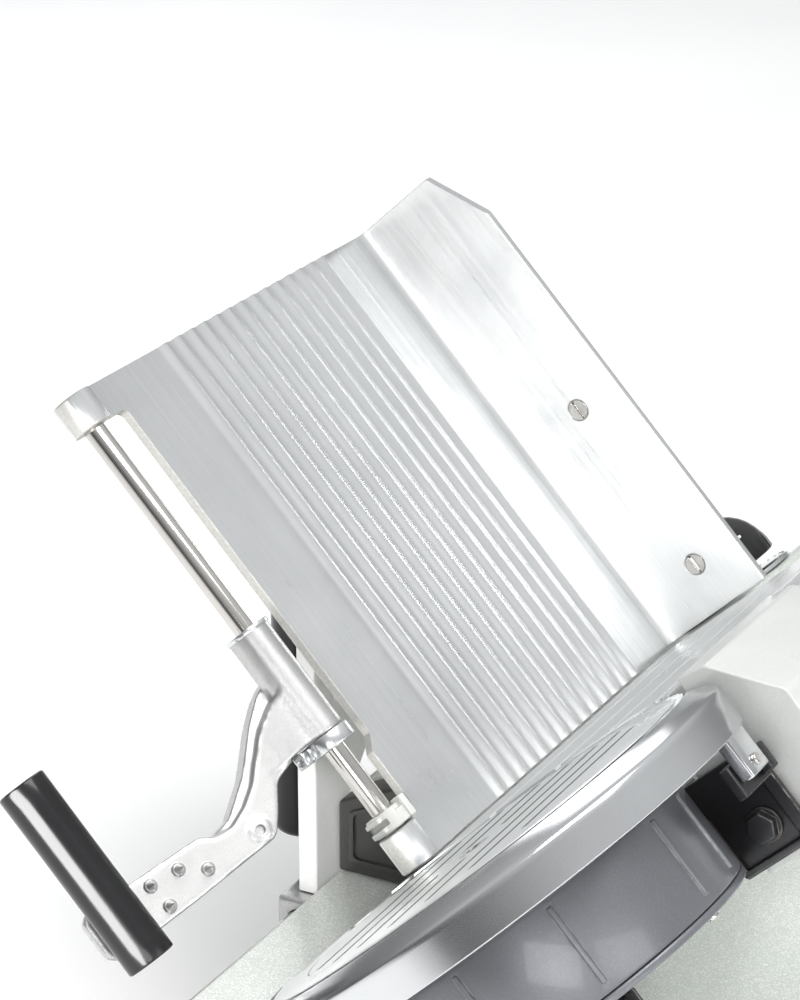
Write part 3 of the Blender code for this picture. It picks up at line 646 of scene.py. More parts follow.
tray = prism("tray_body", tray_outline(), "y", (-305, 0))
slot = rounded([(283, -275), (283, -285), (335, -285), (335, -22), (291, -22), (291, -62),
                (283, -71)], [0, 10, 0, 0, 9, 3, 3], 7)
slot[0] = (283, -274.9)  # just clear of where the next corner's rounding starts
tray = join(tray, rod("boss_a", "y", ROD, (-305, -285), 11.5, bevel=1.2),
            rod("boss_b", "y", ROD, (-22, -0.2), 11.5, bevel=1.2))
tray = cut(tray, prism("slot_cut", slot, "z", (-30, 30)),
           prism("corner_cut", [(-310, 59.3), (-305, 59.3), (-265.8, 79), (-265.8, 90),
                                (-310, 90)], "x", (-12, 5)),
           rod("rod_socket", "y", ROD, (-297, -10), ROD_R + 0.3))
for _, f in FENCE_SCREWS:
    at = (f, FENCE_SCREW_N)
    tray = cut(tray, rod("hole", "x", at, (-8, 1), 3.4, steps=48),
               rod("sink", "x", at, (-3.4, 0.2), 3.4, top=7.0))
tray.data.materials.append(MATERIALS["tray"])
tray.data.materials.append(MATERIALS["tray_cast"])
# the right edge, underside and ends keep the cast surface
for poly in tray.data.polygons:
    n, c = poly.normal, poly.center
    is_cast = (abs(n.z) < 0.5 and c.x > 0.24) or n.z < -0.6 or abs(n.y) > 0.7
    poly.material_index = 1 if is_cast else 0
show(tray, "tray", "carriage_tray")

for name, f in FENCE_SCREWS:
    at = (f, FENCE_SCREW_N)
    head = rod("fence_screw_head_" + name, "x", at, (-3.2, -0.15), 3.0, top=6.3)
    head = cut(head, box("drive_slot", (-1.6, 1), (f - 7, f + 7),
                         (FENCE_SCREW_N - 0.75, FENCE_SCREW_N + 0.75)))
    head = join(head, rod("shank", "x", at, (-17, -3.0), 2.95, steps=32))
    show(head, "steel", "fence_screw_" + name)
stiffener = box("stiffener_bar", (-12.2, -5.3), (-170, -8), (34, 59), bevel=1.6)
stiffener = cut(stiffener, *[rod("hole", "x", (f, FENCE_SCREW_N), (-20, 0), 3.4, steps=32)
                             for _, f in FENCE_SCREWS])
show(stiffener, "cast", "fence_stiffener")

# ---------------- pusher rod, bushing, collar
show(rod("rod_polished", "y", ROD, (-296.5, -10.5), ROD_R, bevel=0.8), "steel", "pusher_rod")

bush = rod("bushing_ring", "y", ROD, (-34, -23.2), 11.0, bevel=0.8)
bush = join(bush, box("lug", (297.6, 303), (-36.0, -23.2), (-2, 5), bevel=0.8),
            box("tab", (312, 320.5), (-33, -24), (-12, -2), bevel=0.8))
bush = cut(bush, rod("bore", "y", ROD, (-50, -10), ROD_R + 0.35),
           box("notch_a", (303.5, 310.5), (-38, -31.2), (1.5, 8), bevel=0.3),
           box("notch_b", (314, 322), (-30.5, -27.0), (-14, 0), bevel=0.3),
           rod("groove", "x", (-28.5, 1.5), (295, 300), 1.5, steps=24))
soften(bush, 0.35, 2, angle=40)
show(bush, "nylon", "rod_bushing")

COLLAR_SCREW = (-80.3, -15.2)  # f, n
collar = lathe("collar_ring", [(6.4, -76), (13.2, -76), (13.8, -76.3), (14.0, -77),
                               (14.0, -83.6), (13.7, -84.3), (13.0, -84.6), (6.4, -84.6)],
               axis_at(*ROD))
collar = join(collar, box("lug", (316.5, 326), (-84.4, -76.2), (-19, -11.5), bevel=1.0))
collar = cut(collar, rod("screw_seat", "x", COLLAR_SCREW, (324.6, 330), 2.6, steps=32),
             rod("screw_socket", "x", COLLAR_SCREW, (322.6, 330), 1.3, steps=6))
soften(collar, 0.4, 2, angle=40)
show(collar, "satin", "pusher_collar")

# ---------------- pusher arm, one casting
# Outlines are (distance out from the rod, f).
POST = (153, -71)  # carries the handle
PAD = (61, -65.5)
PLATE_POINTS = [
    (2, -119), (16, -114), (28, -107), (40, -96), (49, -87), (60, -80), (72, -75.5),
    (82, -76.5), (90, -82), (161, -86), (166.4, -82), (166.4, -61), (161, -56.6),
    (108, -56.6), (55, -57.6), (46, -68), (37, -80), (17, -85.1), (2, -85.1)]
PLATE_RADII = [0, 10, 10, 10, 8, 10, 8, 8, 6, 4, 3, 4, 6, 20, 8, 8, 8, 6, 0]
FLANGE_POINTS = [
    (8, -126), (18, -121), (30, -112), (50, -93), (70, -79.6), (84, -77.4), (85.2, -75.2),
    (84, -73), (70, -74.2), (50, -87), (30, -105), (16, -112), (6, -116)]
FLANGE_RADII = [0, 8, 8, 8, 8, 2, 1, 2, 8, 8, 8, 8, 0]
# (distance out, height) of the web that thins away from the sleeve
WEB_POINTS = [(0, -3), (0, 12), (8, 9.6), (11, 8.0), (14, 6.9), (18, 5.8), (23, 4.8),
              (30, 3.8), (38, 3.2), (46, 2.9), (46, -3)]
SPIKE_PROFILE = [(0, 12.0), (0.25, 11.9), (0.5, 11.3), (2.1, 5.2), (2.3, 4.5), (3.0, 4.3),
                 (3.6, 3.7), (3.9, 2.4), (3.9, 1.0), (0, 1.0)]

plate = rounded(PLATE_POINTS, PLATE_RADII, 4)
casting = prism("arm_plate", plate, "z", (-3.1, 3.1), ARM)
web = prism("web", WEB_POINTS, "y", (-122, -85.1), ARM)
web = common(web, prism("web_limit", plate, "z", (-3, 13), ARM))
casting = join(casting, web,
               prism("flange", rounded(FLANGE_POINTS, FLANGE_RADII, 4), "z", (-15.2, -0.5), ARM),
               rod("sleeve_boss", "y", (0, 0), (-152, -85), 12.2, ARM),
               rod("post_boss", "z", POST, (1, 4.0), 8.5, ARM, steps=48, top=7.6),
               rod("pad", "z", PAD, (1, 4.1), 7.2, ARM, steps=32, top=5.6))
# one smooth skin, so that the parts meet in fillets
mod = casting.modifiers.new("skin", "REMESH")
mod.mode = "VOXEL"
mod.voxel_size = 0.00085
mod = casting.modifiers.new("fillet", "SMOOTH")
mod.factor = 0.5
mod.iterations = 9
bake(casting)
casting = cut(casting, rod("bore", "y", (0, 0), (-170, -70), ROD_R + 0.4, ARM),
              rod("clearance", "y", (0, 0), (-84.95, -60), 24.6, ARM),
              rod("dimple", "z", PAD, (2.2, 8), 2.4, ARM, steps=32, top=3.4))
casting = join(casting, rod("post", "z", POST, (3, 12), 5.0, ARM, steps=40))
for out, f in ((96, -66), (109, -75), (126, -77), (124, -63)):
    casting = join(casting, lathe("spike", SPIKE_PROFILE, ARM @ shift(out, f, 0), 28))
casting.name = "pusher_casting"
casting.data.materials.clear()  # so that show() gives it its only slot
show(casting, "cast", "pusher_arm")
band = lathe("sleeve_band", [(12.1, -152.6), (12.9, -152.4), (13.1, -151.8), (13.1, -150.6),
                             (12.9, -150.0), (12.1, -149.8)], axis_at(0, 0, ARM), 72)
show(band, "satin", body="pusher")

grip = lathe("pusher_grip",
             [(0, -157.0), (4.2, -157.0), (4.6, -156.4), (5.4, -156.4), (5.9, -157.0),
              (11.8, -157.0), (12.7, -156.8), (13.3, -156.3), (13.5, -155.4)]
             + waist(13.5, 0.25, start=-155.4, length=106.8)
             + [(13.5, -48.6), (13.3, -47.7), (12.7, -47.2), (11.8, -47.0), (5.9, -47.0),
                (5.4, -47.6), (0, -47.6)], axis_at(POST[0], 17, ARM))
grip = cut(grip, rod("post_hole", "z", POST, (0, 12.5), 5.3, ARM, steps=48))
show(grip, "black", "pusher_handle")

# ---------------- carriage arm, bearing, slide rod, upright grip
arm_shape = rounded([(152, 58.4), (192, 58.4), (192, 302), (84, 302), (84, 214), (96, 160),
                     (128, 132), (152, 106)], [1, 1, 2, 2, 14, 14, 14, 10], 6)
window = rounded([(118, 172), (172, 172), (176, 214), (176, 272), (104, 272), (104, 208)], 7, 6)
arm = prism("arm_web", arm_shape, "y", (-146, -134), MACHINE, bevel=1.5, segments=3)
arm = cut(arm, prism("window", window, "y", (-150, -130), MACHINE))
arm = join(arm, box("pad", (70, 250), (-240, -150), (-16, -5.3), bevel=2.5))
soften(arm, 0.8, 2, angle=45)
show(arm, "leg", "carriage_arm")
bearing = box("slide_block", (142, 202), (-155, -125), (29, 58), MACHINE, bevel=3, segments=4)
bearing = cut(bearing, rod("bore", "x", SLIDE, (100, 250), 8.4, MACHINE),
              rod("oil_port", "z", (172, -152.0), (50, 70), 1.6, MACHINE, steps=24))
soften(bearing, 0.5, 2)
show(bearing, "cast", "slide_bearing")
show(rod("slide_bar", "x", SLIDE, (86, 498.4), 8.0, MACHINE, bevel=0.8), "steel", "slide_rod")
# name, left face, start and end of the bore measured from it
for name, x0, bore_from, bore_to in (("left", 84.0, 1.6, 20), ("right", 487.0, -5, 11.8)):
    block = box("slide_end_" + name, (x0, x0 + 13), (-156, -118.3), (28, 60), MACHINE,
                bevel=2.4, segments=4)
    block = cut(block, rod("bore", "x", SLIDE, (x0 + bore_from, x0 + bore_to), 8.3, MACHINE))
    block = cut(block, rod("screw_seat", "y", (x0 + 6.5, 52.5), (-160, -152.5), 3.0, MACHINE,
                           steps=32))
    soften(block, 0.4, 2)
    show(block, "cast", "rod_bracket_" + name)
grip = lathe("carriage_grip",
             [(0, 68.0), (10.5, 68.0), (13.6, 68.5), (15.6, 70.0), (17.0, 72.6), (17.5, 76.0)]
             + waist(17.5, 0.8, start=76, length=140)
             + [(17.5, 216.0), (17.0, 222.5), (15.2, 227.6), (12.0, 230.7), (7.5, 231.8),
                (0, 232.0)], MACHINE @ shift(138, -174, 0))
grip = join(grip, rod("stub", "y", (138, 150), (-168, -146.3), 8.0, MACHINE, bevel=0.8))
show(grip, "black", "carriage_handle")


# ---------------- blade, ring, cover, tie knob
def around_blade(radius, degrees):
    """(x, n) of a point on a circle about the blade's axis."""
    angle = math.radians(degrees)
    return BLADE_X + radius * math.cos(angle), BLADE_N + radius * math.sin(angle)


def left_wedge(name):
    """Cutter that opens a ring about the blade on its left."""
    outline = [BLADE] + [around_blade(260, d) for d in (119, 150, 195, 240, 285)]
    return prism(name, outline, "y", (-10, 40))


show(lathe("blade_disc",
           [(12.4, 6.0), (104.0, 6.0), (107.5, 5.9), (111.0, 5.2), (118.0, 3.75), (123.6, 2.55),
            (124.7, 2.3), (125.0, 2.05), (124.7, 2.0), (118.5, 3.3), (114.0, 3.8),
            (110.0, 3.95), (104.0, 4.0), (12.4, 4.0)], BLADE_AXIS, 256), "chrome", "blade")

guard = lathe("guard_band",
              [(138.4, 28.0), (141.5, 28.0), (142.0, 27.5), (142.0, 24), (142.0, 18),
               (142.0, 12), (142.0, 9.6), (141.7, 8.7), (141.0, 7.9), (140.0, 7.2),
               (128.6, 1.5), (127.8, 1.3), (127.2, 1.6), (127.0, 2.3), (127.0, 5.4),
               (127.3, 5.9), (136.8, 11.2), (138.0, 12.4), (138.0, 27.6)], BLADE_AXIS, 220)
guard = cut(guard, left_wedge("guard_gap"))
guard = join(guard, box("leg", (331, 350), (14, 52), (212.3, 220.5), bevel=1.4),
             box("lower_leg", (425, 437), (14, 30.5), (-43, -32), bevel=1.0))
ring_end = around_blade(134.2, 120.6)
guard = cut(guard, rod("ring_screw_seat", "y", ring_end, (0, 7.2), 2.1, steps=32))
soften(guard, 0.45, 2)
show(guard, "aluminium_ring", "ring_guard")
show(rod("ring_end_screw", "y", ring_end, (4.9, 7.0), 1.9, steps=32, bevel=0.3), "steel",
     body="frame")

show(lathe("cover_disc", [(4.6, 3.6), (98.9, 3.6), (99.6, 3.4), (100.0, 2.8), (100.0, 1.5),
                          (99.5, 0.9), (98.6, 0.7), (4.6, 0.7)], BLADE_AXIS, 200),
     "aluminium_x", "blade_cover")
# seven dark strips across the cover, painted shade and painted reflection standing for its
# grooves, interrupted around the hub
lines = []
for k in range(7):
    n0 = BLADE_N - 62 + 23 * k
    half = math.sqrt(98.0 ** 2 - (n0 - BLADE_N) ** 2) - 3
    lines.append(box("cover_line", (BLADE_X - half, BLADE_X + half), (0.62, 1.0),
                     (n0 - 2.0, n0 + 2.0)))
lines = join(*[cut(line, rod("middle", "y", BLADE, (-5, 5), 22.0, steps=96))
               for line in lines])
show(lines, "print_and_groove_shade", body="frame")
cover_rim = lathe("cover_rim", [(100.6, 1.7), (121.0, 1.7), (121.5, 1.4), (121.5, 1.1),
                                (121.0, 0.8), (100.6, 0.8)], BLADE_AXIS, 256)
show(cut(cover_rim, left_wedge("rim_gap")), "aluminium_x", body="frame")
show(lathe("cover_hub", [(4.4, 0.6), (9.0, 0.6), (9.6, 0.9), (9.8, 1.6), (4.4, 1.6)],
           BLADE_AXIS, 64), "steel", body="frame")

tie_knob = lathe("tie_knob_body",
                 [(0, 120.0), (9.0, 120.0), (13.0, 119.4), (17.5, 117.9), (20.2, 115.4),
                  (21.0, 112.5), (21.0, 101.0), (20.2, 98.4), (17.6, 96.3), (12.0, 95.2),
                  (8.0, 95.0), (4.2, 95.0), (4.2, 1.2), (0, 1.2)], BLADE_AXIS)
tie_knob = cut(tie_knob, *flutes(12, 22.4, (90, 130), 2.6, BLADE_AXIS, steps=24))
show(tie_knob, "black", "cover_tie_knob")

# ---------------- bracket and bolt at the ring's upper end
bracket_shape = rounded([(318.5, 163), (322.8, 163), (322.8, 206), (352, 206), (352, 211.8),
                         (318.5, 211.8)], [0.8, 0.8, 3.0, 0.8, 0.8, 3.0], 5)
bracket = prism("angle_bracket", bracket_shape, "y", (41, 96), bevel=0.7)
bracket = cut(bracket, rod("hole", "x", BRACKET_BOLT, (310, 330), 4.5, steps=48),
              box("flange_cut", (323.5, 360), (58, 100), (200, 220)))
rim = box("bracket_rim", (322.6, 325.4), (60, 94.6), (163.8, 167.2), bevel=0.9)
rim = join(rim, box("bracket_lip", (322.6, 325.4), (91.4, 94.8), (163.8, 204), bevel=0.9))
soften(rim, 0.4, 2)
show(rim, "dark_steel", body="frame")
show(bracket, "dark_steel", "ring_bracket")
bolt = rod("hex_bolt", "x", BRACKET_BOLT, (324.4, 329.5), 8.2, steps=6, bevel=0.9)
bolt = join(bolt, rod("washer", "x", BRACKET_BOLT, (323.1, 324.6), 9.4, bevel=0.3),
            rod("shank", "x", BRACKET_BOLT, (312, 324), 4.0, steps=32))
show(bolt, "dark_steel", "bracket_bolt")
show(rod("leg_screw", "z", (340.5, 46.0), (220.3, 222.6), 3.0, steps=40, bevel=0.9), "steel",
     body="frame")
show(box("bracket_block", (324, 330.6), (41.5, 56), (212.0, 219.5), bevel=1.2), "panel",
     body="frame")

# ---------------- sharpener hood, stone and slice deflector
outer = rounded([(-4.5, 197), (-2.5, 214.5), (29, 244), (60, 243), (100, 230), (100, 172),
                 (36, 172), (36, 197)], [1.0, 5, 6, 8, 4, 2, 2, 3], 7)
inner = rounded([(-30, 190), (-1.2, 190), (0.8, 212.6), (30.2, 240.4), (59.8, 239.4),
                 (96.5, 227.4), (96.5, 150), (-30, 150)], [0, 0, 3, 4, 5, 2, 0, 0], 6)
hood = prism("hood_shell", outer, "x", (205, 318), bevel=2.4, segments=5)
hood = cut(hood, prism("hood_inside", inner, "x", (208.5, 314.5)))
hood = cut(hood, rod("stone_hole", "y", STONE, (90, 110), 5.4, steps=48),
           rod("bolt_hole", "x", BRACKET_BOLT, (310, 325), 4.3, steps=48))
soften(hood, 0.5, 2)
show(hood, "hood", "sharpener_hood")
show(lathe("stone_wheel", [(0, 107), (5, 107), (5, 31), (9, 30.4), (9, 24.4), (9.6, 24),
                           (12.1, 24), (12.5, 23.6), (12.5, 14.5), (12.0, 14), (6, 14),
                           (5.2, 15), (0, 15)], STONE_AXIS, 72), "stone", "sharpening_stone")
cap = lathe("stone_cap", [(0, 119.6), (3.0, 119.8), (6.5, 120), (7.8, 119.6), (8.7, 118.8),
                          (9.0, 117.6), (9.0, 110.6), (8.6, 109.7), (7.2, 109.1),
                          (6.0, 107.4), (0, 107.4)], STONE_AXIS, 72)
cap = cut(cap, *flutes(16, 9.7, (111, 117.5), 1.1, STONE_AXIS, steps=16))
show(cap, "black", "stone_button")
sheet = rounded([(283, 10), (285.5, 9), (299.4, 40), (299.4, 76), (296.9, 76), (296.9, 40.6)],
                [0.5, 0.5, 4, 0.6, 0.6, 4], 5)
show(prism("deflector_sheet", sheet, "z", (62, 136), bevel=0.5), "aluminium_ring",
     "slice_deflector")

# ---------------- blade housing, its back plate, motor cover
BOSS_BORE = 26.4
housing = lathe("housing_drum", [(BOSS_BORE, 84), (96.4, 84), (97.5, 83.6), (98, 82.5),
                                 (98, 34), (97.4, 32.2), (96.0, 31.2), (94.5, 31),
                                 (BOSS_BORE, 31)], BLADE_AXIS, 160)
ribs = [box("rib", (96.0, 99.6), (-1.5, 1.5), (36, 79), BLADE_AXIS @ spin(-a), bevel=0.9)
        for a in (12, 44, 86, 106, 138, 170, 202)]
pedestal = rounded([(6, 80.3), (26.5, 80.3), (71, 122), (40, 128), (6, 128)],
                   [0, 0, 4, 4, 4], 4)
housing = join(housing, prism("pedestal", pedestal, "x", (345, 451), MACHINE, bevel=2),
               box("hood_lug", (303, 335), (40, 80), (130, 161.4), bevel=2), *ribs)
housing = cut(housing, rod("cavity", "y", BLADE, (36, 95), 93),
              rod("seat", "y", BLADE, (20, 60), BOSS_BORE))
soften(housing, 0.8, 2)
# painted shade: the housing wears a darkened copy of the base's paint
show(housing, "casting", "blade_housing")
back = rod("back_plate", "y", BLADE, (84.3, 88.3), 98.0, steps=128, bevel=1.0)
back = join(back, rod("boss", "y", BLADE, (74, 90.5), 30.0, bevel=1.0))
back = cut(back, rod("bore", "y", BLADE, (70, 95), BOSS_BORE),
           rod("pass", "y", (BLADE_X, 24), (70, 95), 8))
# painted shade: the back plate wears a darkened copy of the base's paint
show(back, "casting", "housing_back_plate")
for k in range(3):
    x, n = around_blade(88, 30 + 60 * k)
    screw = rod("back_plate_screw_%d" % (k + 1), "y", (x, n), (87.8, 91.2), 3.6, steps=40,
                bevel=0.9)
    screw = cut(screw, box("slot", (x - 5, x + 5), (90.2, 93), (n - 0.6, n + 0.6)))
    show(screw, "steel", body="frame")

cover = box("motor_shell", (348, 448), (75, 172), (-32, 74), bevel=9, segments=6)
cover = cut(cover, box("inside", (351.5, 444.5), (70, 168.5), (-28.5, 70.5), bevel=6, segments=4),
            box("front", (340, 456), (60, 89.0), (-45, 90)),
            box("foot", (330, 466), (-20, 210), (0, 80.3), MACHINE))
cover = cut(cover, *[prism("vent", upright_slot(366 + 8 * k, 1.7, 18, 56, radius=1.6, count=5),
                           "y", (160, 180)) for k in range(9)])
soften(cover, 0.5, 2)
show(cover, "paint", "motor_cover")

# ---------------- gauge plate, its housing, dial and knob
GAUGE_R = 130.0  # the plate's right edge follows this circle about the blade
edge = [(BLADE_X - math.sqrt(GAUGE_R ** 2 - (n - BLADE_N) ** 2), n)
        for n in [-14 + 182 * i / 60 for i in range(61)]]
outline = [(26, -14)] + edge + [(26, 168), (23.2, 167.2), (22, 164), (22, -10), (23.2, -13.2)]
gauge = prism("gauge_sheet", outline, "y", (1.2, 6.2), bevel=0.35)
grooves = []
for k in range(5):
    n0 = -10.0 + 41 * k
    section = rounded([(-1.0, n0), (2.6, n0 + 0.9), (2.6, n0 + 4.2), (-1.0, n0 + 5.2)],
                      [0, 0.6, 0.6, 0], 4)
    grooves.append(prism("groove", section, "x", (30, 420)))
show(cut(gauge, *grooves), "aluminium_x", "gauge_plate")

shell = box("gauge_shell", (-103, 14), (2.0, 76), (-8, 60), bevel=6, segments=5)
shell = join(shell, box("foot", (-102, 13), (-3, 66), (105.3, 138), MACHINE, bevel=1.5))
shell = cut(shell, box("cavity", (-98, 30), (7, 70), (-2, 54)),
            rod("shaft_hole", "y", DIAL, (-5, 20), 5.5))
soften(shell, 1.2, 3)
show(shell, "paint", "gauge_housing")

DIAL_START = -75  # degrees, shared by the first tick and the knob's index
show(lathe("dial_disc", [(7, 1.7), (42.0, 1.7), (43.0, 1.1), (43.0, 0.1), (42.6, -0.4),
                         (41.0, -1.4), (7, -1.4)], DIAL_AXIS, 128),
     "aluminium_ring", "dial_ring")
for k in range(31):
    # every fifth tick is longer and wider
    inner_r, half = (39.0, 0.22) if k % 5 == 0 else (39.9, 0.14)
    tick = box("dial_tick_%d" % (k + 1), (inner_r, 41.2), (-half, half), (-1.62, -1.2),
               DIAL_AXIS @ spin(DIAL_START - 11 * k))
    show(tick, "print_and_groove_shade", body="frame")
knob = lathe("knob_dome",
             [(0, -15), (5.3, -15), (5.3, -8), (36.6, -8), (37.6, -8.4), (38.0, -9.4),
              (38.0, -14.0), (37.4, -18.5), (36.0, -24), (33.9, -29.2), (31.0, -33.6),
              (27.0, -37.8), (22.0, -41), (16.5, -43.1), (10.0, -44.5), (5, -44.9), (0, -45)],
             DIAL_AXIS, 144)
knob = cut(knob, *flutes(28, 39.2, (-24, -5), 2.1, DIAL_AXIS, steps=20))
soften(knob, 0.3, 2, angle=45)
show(knob, "black", "thickness_knob")
show(rod("knob_index", "z", (0, 0), (-26.2, -24.4), 1.7,
         DIAL_AXIS @ spin(DIAL_START) @ shift(34.5, 0, 0), steps=32, bevel=0.3),
     "white_mark", body="knob")

# ---------------- base, bottom, feet
LEFT, RIGHT = -104.0, 500.0
FRONT, BACK = -118.0, 205.0
BOTTOM, TOP = 22.0, 80.0
WALL = 4
base = box("base_tub", (LEFT, RIGHT), (FRONT, BACK), (BOTTOM, TOP), MACHINE, bevel=3.4,
           segments=4)
raised = rounded([(FRONT + 0.2, 50), (FRONT + 0.2, 124), (FRONT + 16, 140), (-8, 140),
                  (-8, 105), (75, 105), (75, 50)], [0, 6, 6, 5, 5, 5, 0], 6)
base = join(base, prism("raised", raised, "x", (LEFT + 0.2, 172), MACHINE, bevel=3.0,
                        segments=4))
hollow = [(FRONT + WALL, 60), (FRONT + WALL, 122), (FRONT + 18, 136), (-12, 136), (-12, 101),
          (71, 101), (71, 60)]
base = cut(base, box("hollow", (LEFT + WALL, RIGHT - WALL), (FRONT + WALL, BACK - WALL),
                     (BOTTOM - 5, TOP - WALL), MACHINE),
           prism("raised_hollow", hollow, "x", (LEFT + WALL, 168), MACHINE),
           box("motor_well", (353, 443), (50, 150), (70, 90), MACHINE),
           rod("cord_hole", "y", (440, 50), (195, 215), 7.0, MACHINE, steps=48),
           box("panel_window", (-84, -30), (-125, -108), (92, 122), MACHINE))
soften(base, 0.6, 2, angle=55)
show(base, "paint", "base_housing")
bottom = box("bottom_plate", (LEFT + 5, RIGHT - 5), (FRONT + 5, BACK - 5), (22.3, 25.3),
             MACHINE, bevel=0.5, segments=2)
bottom = cut(bottom, *[prism("vent", upright_slot(x, 2, 30, 90, radius=1.9, count=4), "z",
                             (20, 30), MACHINE) for x in range(250, 331, 10)])
show(bottom, "dark_steel", "base_bottom_cover")
FOOT_PROFILE = [
    (0, 0), (12.5, 0), (14.2, 0.4), (15.0, 1.6), (15.4, 3.6), (15.1, 4.4), (15.5, 5.2),
    (15.9, 8.6), (15.6, 9.4), (16.0, 10.2), (16.5, 13.6), (16.2, 14.4), (16.6, 15.2),
    (17.2, 19.0), (17.9, 20.4), (17.6, 21.5), (16.6, 22.0), (0, 22.0)]
for side, x in (("left", -84.0), ("right", 480.0)):
    for end, y in (("front", -96.0), ("rear", 183.0)):
        show(lathe("rubber_foot_%s_%s" % (end, side), FOOT_PROFILE, MACHINE @ shift(x, y, 0)),
             "rubber", "foot_%s_%s" % (end, side))

# moulded cover on the right of the raised part, with a raised outline; its charcoal colour is
# painted shade for that side
side_shape = rounded([(-117.6, 80.7), (-117.6, 125), (-93, 136.6), (-60, 149), (-12, 149),
                      (-12, 80.7)], [2, 5, 5, 5, 5, 2], 7)
line_outer = rounded([(-110, 88), (-110, 120), (-90, 129.6), (-58, 141), (-19, 141),
                      (-19, 88)], [3, 4, 5, 5, 4, 3], 6)
line_inner = rounded([(-107, 91), (-107, 118.4), (-89, 127), (-57, 138), (-22, 138),
                      (-22, 91)], [3, 4, 5, 5, 4, 3], 6)
side_cover = prism("side_cover", side_shape, "x", (172.1, 195.5), MACHINE, bevel=2.4,
                   segments=4)
line = prism("side_cover_line", line_outer, "x", (195.1, 196.9), MACHINE, bevel=0.5)
line = cut(line, prism("line_in", line_inner, "x", (190, 204), MACHINE))
side_cover = join(side_cover, line)
soften(side_cover, 0.3, 2)
show(side_cover, "shaded_side_trim", body="frame")

# ---------------- control panel, places as machine (x, z)
START = (-74, 107)
STOP = (-48, 107)
LAMP = (-61, 122)
panel = box("switch_plate", (-92, -22), (-120.6, -118.4), (86, 128), MACHINE, bevel=0.9)
panel = cut(panel, *[rod(name, "y", at, (-125, -110), radius, MACHINE)
                     for name, at, radius in (("h1", START, 9.4), ("h2", STOP, 9.4),
                                              ("h3", LAMP, 2.9))])
show(panel, "panel", "control_panel")
# name, place, y of the cap's face, material
for name, at, face, kind in (("start", START, -126.0, "green"), ("stop", STOP, -127.5, "red")):
    axis = axis_at(*at, MACHINE)
    profile = [(0, face + 0.9), (4.5, face + 0.7), (6.6, face + 0.1), (7.6, face),
               (8.5, face + 0.4), (9.0, face + 1.4), (9.0, -116), (0, -116)]
    show(lathe(name + "_cap", profile, axis), kind, name + "_button")
    show(lathe(name + "_bezel", [(9.5, -122.0), (10.8, -122.0), (11.6, -121.6),
                                 (11.8, -120.7), (9.5, -120.7)], axis),
         "aluminium_ring", body="frame")
show(lathe("lamp_lens", [(0, -122.5), (1.0, -122.4), (2.0, -121.9), (2.6, -120.9),
                         (2.6, -119), (0, -119)], axis_at(*LAMP, MACHINE), 48),
     "amber", "indicator_lens")
for k, at in enumerate(((-88.5, 124.5), (-25.5, 124.5), (-88.5, 89.5), (-25.5, 89.5))):
    show(rod("panel_screw_%d" % (k + 1), "y", at, (-121.3, -120.4), 1.7, MACHINE, steps=32,
             bevel=0.35), "steel", body="frame")

# ---------------- gland and cord
gland_profile = [(4.2, 196), (6.6, 196), (6.6, 205.4), (10.1, 205.4), (10.5, 205.8),
                 (10.5, 211.4), (10.0, 212)]
for k in range(5):
    z = 212.4 + 1.9 * k
    gland_profile += [(6.9 - 0.2 * k, z), (6.9 - 0.2 * k, z + 0.9),
                      (6.0 - 0.2 * k, z + 1.1), (6.0 - 0.2 * k, z + 1.7)]
gland_profile += [(5.6, 222), (4.2, 222)]
show(lathe("cord_strain_relief", gland_profile, axis_at(440, 50, MACHINE), 72), "rubber",
     "cord_gland")

# straight out of the gland, then a curve that falls to the floor
cord_points = [(440, 198 + i * 13.0, 50) for i in range(3)]
cord_points += [(440 + 60 * math.sin(i / 24 * math.pi * 1.1) - 2.2 * i,
                 198 + (30 + 24 * math.sin(i / 24 * math.pi)),
                 max(4.2, 50 - i * 9.0)) for i in range(1, 25)]
cord = bpy.data.curves.new("mains_cord", "CURVE")
cord.dimensions = "3D"
cord.bevel_depth = 3.55 * MM
cord.bevel_resolution = 6
cord.use_fill_caps = True
cord.resolution_u = 6
spline = cord.splines.new("NURBS")
spline.points.add(len(cord_points) - 1)
for point, (x, y, z) in zip(spline.points, cord_points):
    point.co = (x * MM, y * MM, z * MM, 1)
spline.use_endpoint_u = True
spline.order_u = 4
cord_ob = bpy.data.objects.new("mains_cord", cord)
shapes.objects.link(cord_ob)
cord_ob.matrix_world = MACHINE
show(cord_ob, "rubber", "power_cord")

# ---------------- pieces whose CAD shape stays
KEPT = {"blade_shaft": "steel", "blade_pulley": "satin", "motor_rotor": "steel",
        "drive_belt": "rubber", "motor_body": "dark_steel", "bearing_front": "steel",
        "bearing_rear": "steel", "gauge_carrier": "cast", "gauge_guide_rod": "steel",
        "knob_shaft": "steel", "run_capacitor": "dark_steel"}
for node, kind in KEPT.items():
    ob = cad["nodes"][node]
    ob.data.materials.clear()
    ob.data.materials.append(MATERIALS[kind])
    for poly in ob.data.polygons:
        poly.material_index = 0

# ---------------- floor and world
floor_mesh = bpy.data.meshes.new("floor")
bm = bmesh.new()
bmesh.ops.create_grid(bm, x_segments=1, y_segments=1, size=14.0)
bm.to_mesh(floor_mesh)
bm.free()
floor = bpy.data.objects.new("floor", floor_mesh)
scene.collection.objects.link(floor)
pale = MaterialNodes("pale_floor")
soft = pale.noise(pale.place(), scale=3.0, detail=3.0, rough=0.5)
for socket, value in {
        "Base Color": pale.mix(pale.ramp(soft, (0.3, 0.7)), (0.90, 0.90, 0.90),
                               (0.93, 0.93, 0.925)),
        "Emission Color": (1, 1, 1, 1), "Emission Strength": 0.12,
        "Roughness": 0.75, "Specular IOR Level": 0.2}.items():
    pale.put(pale.bsdf, socket, value)
floor_mesh.materials.append(pale.mat)

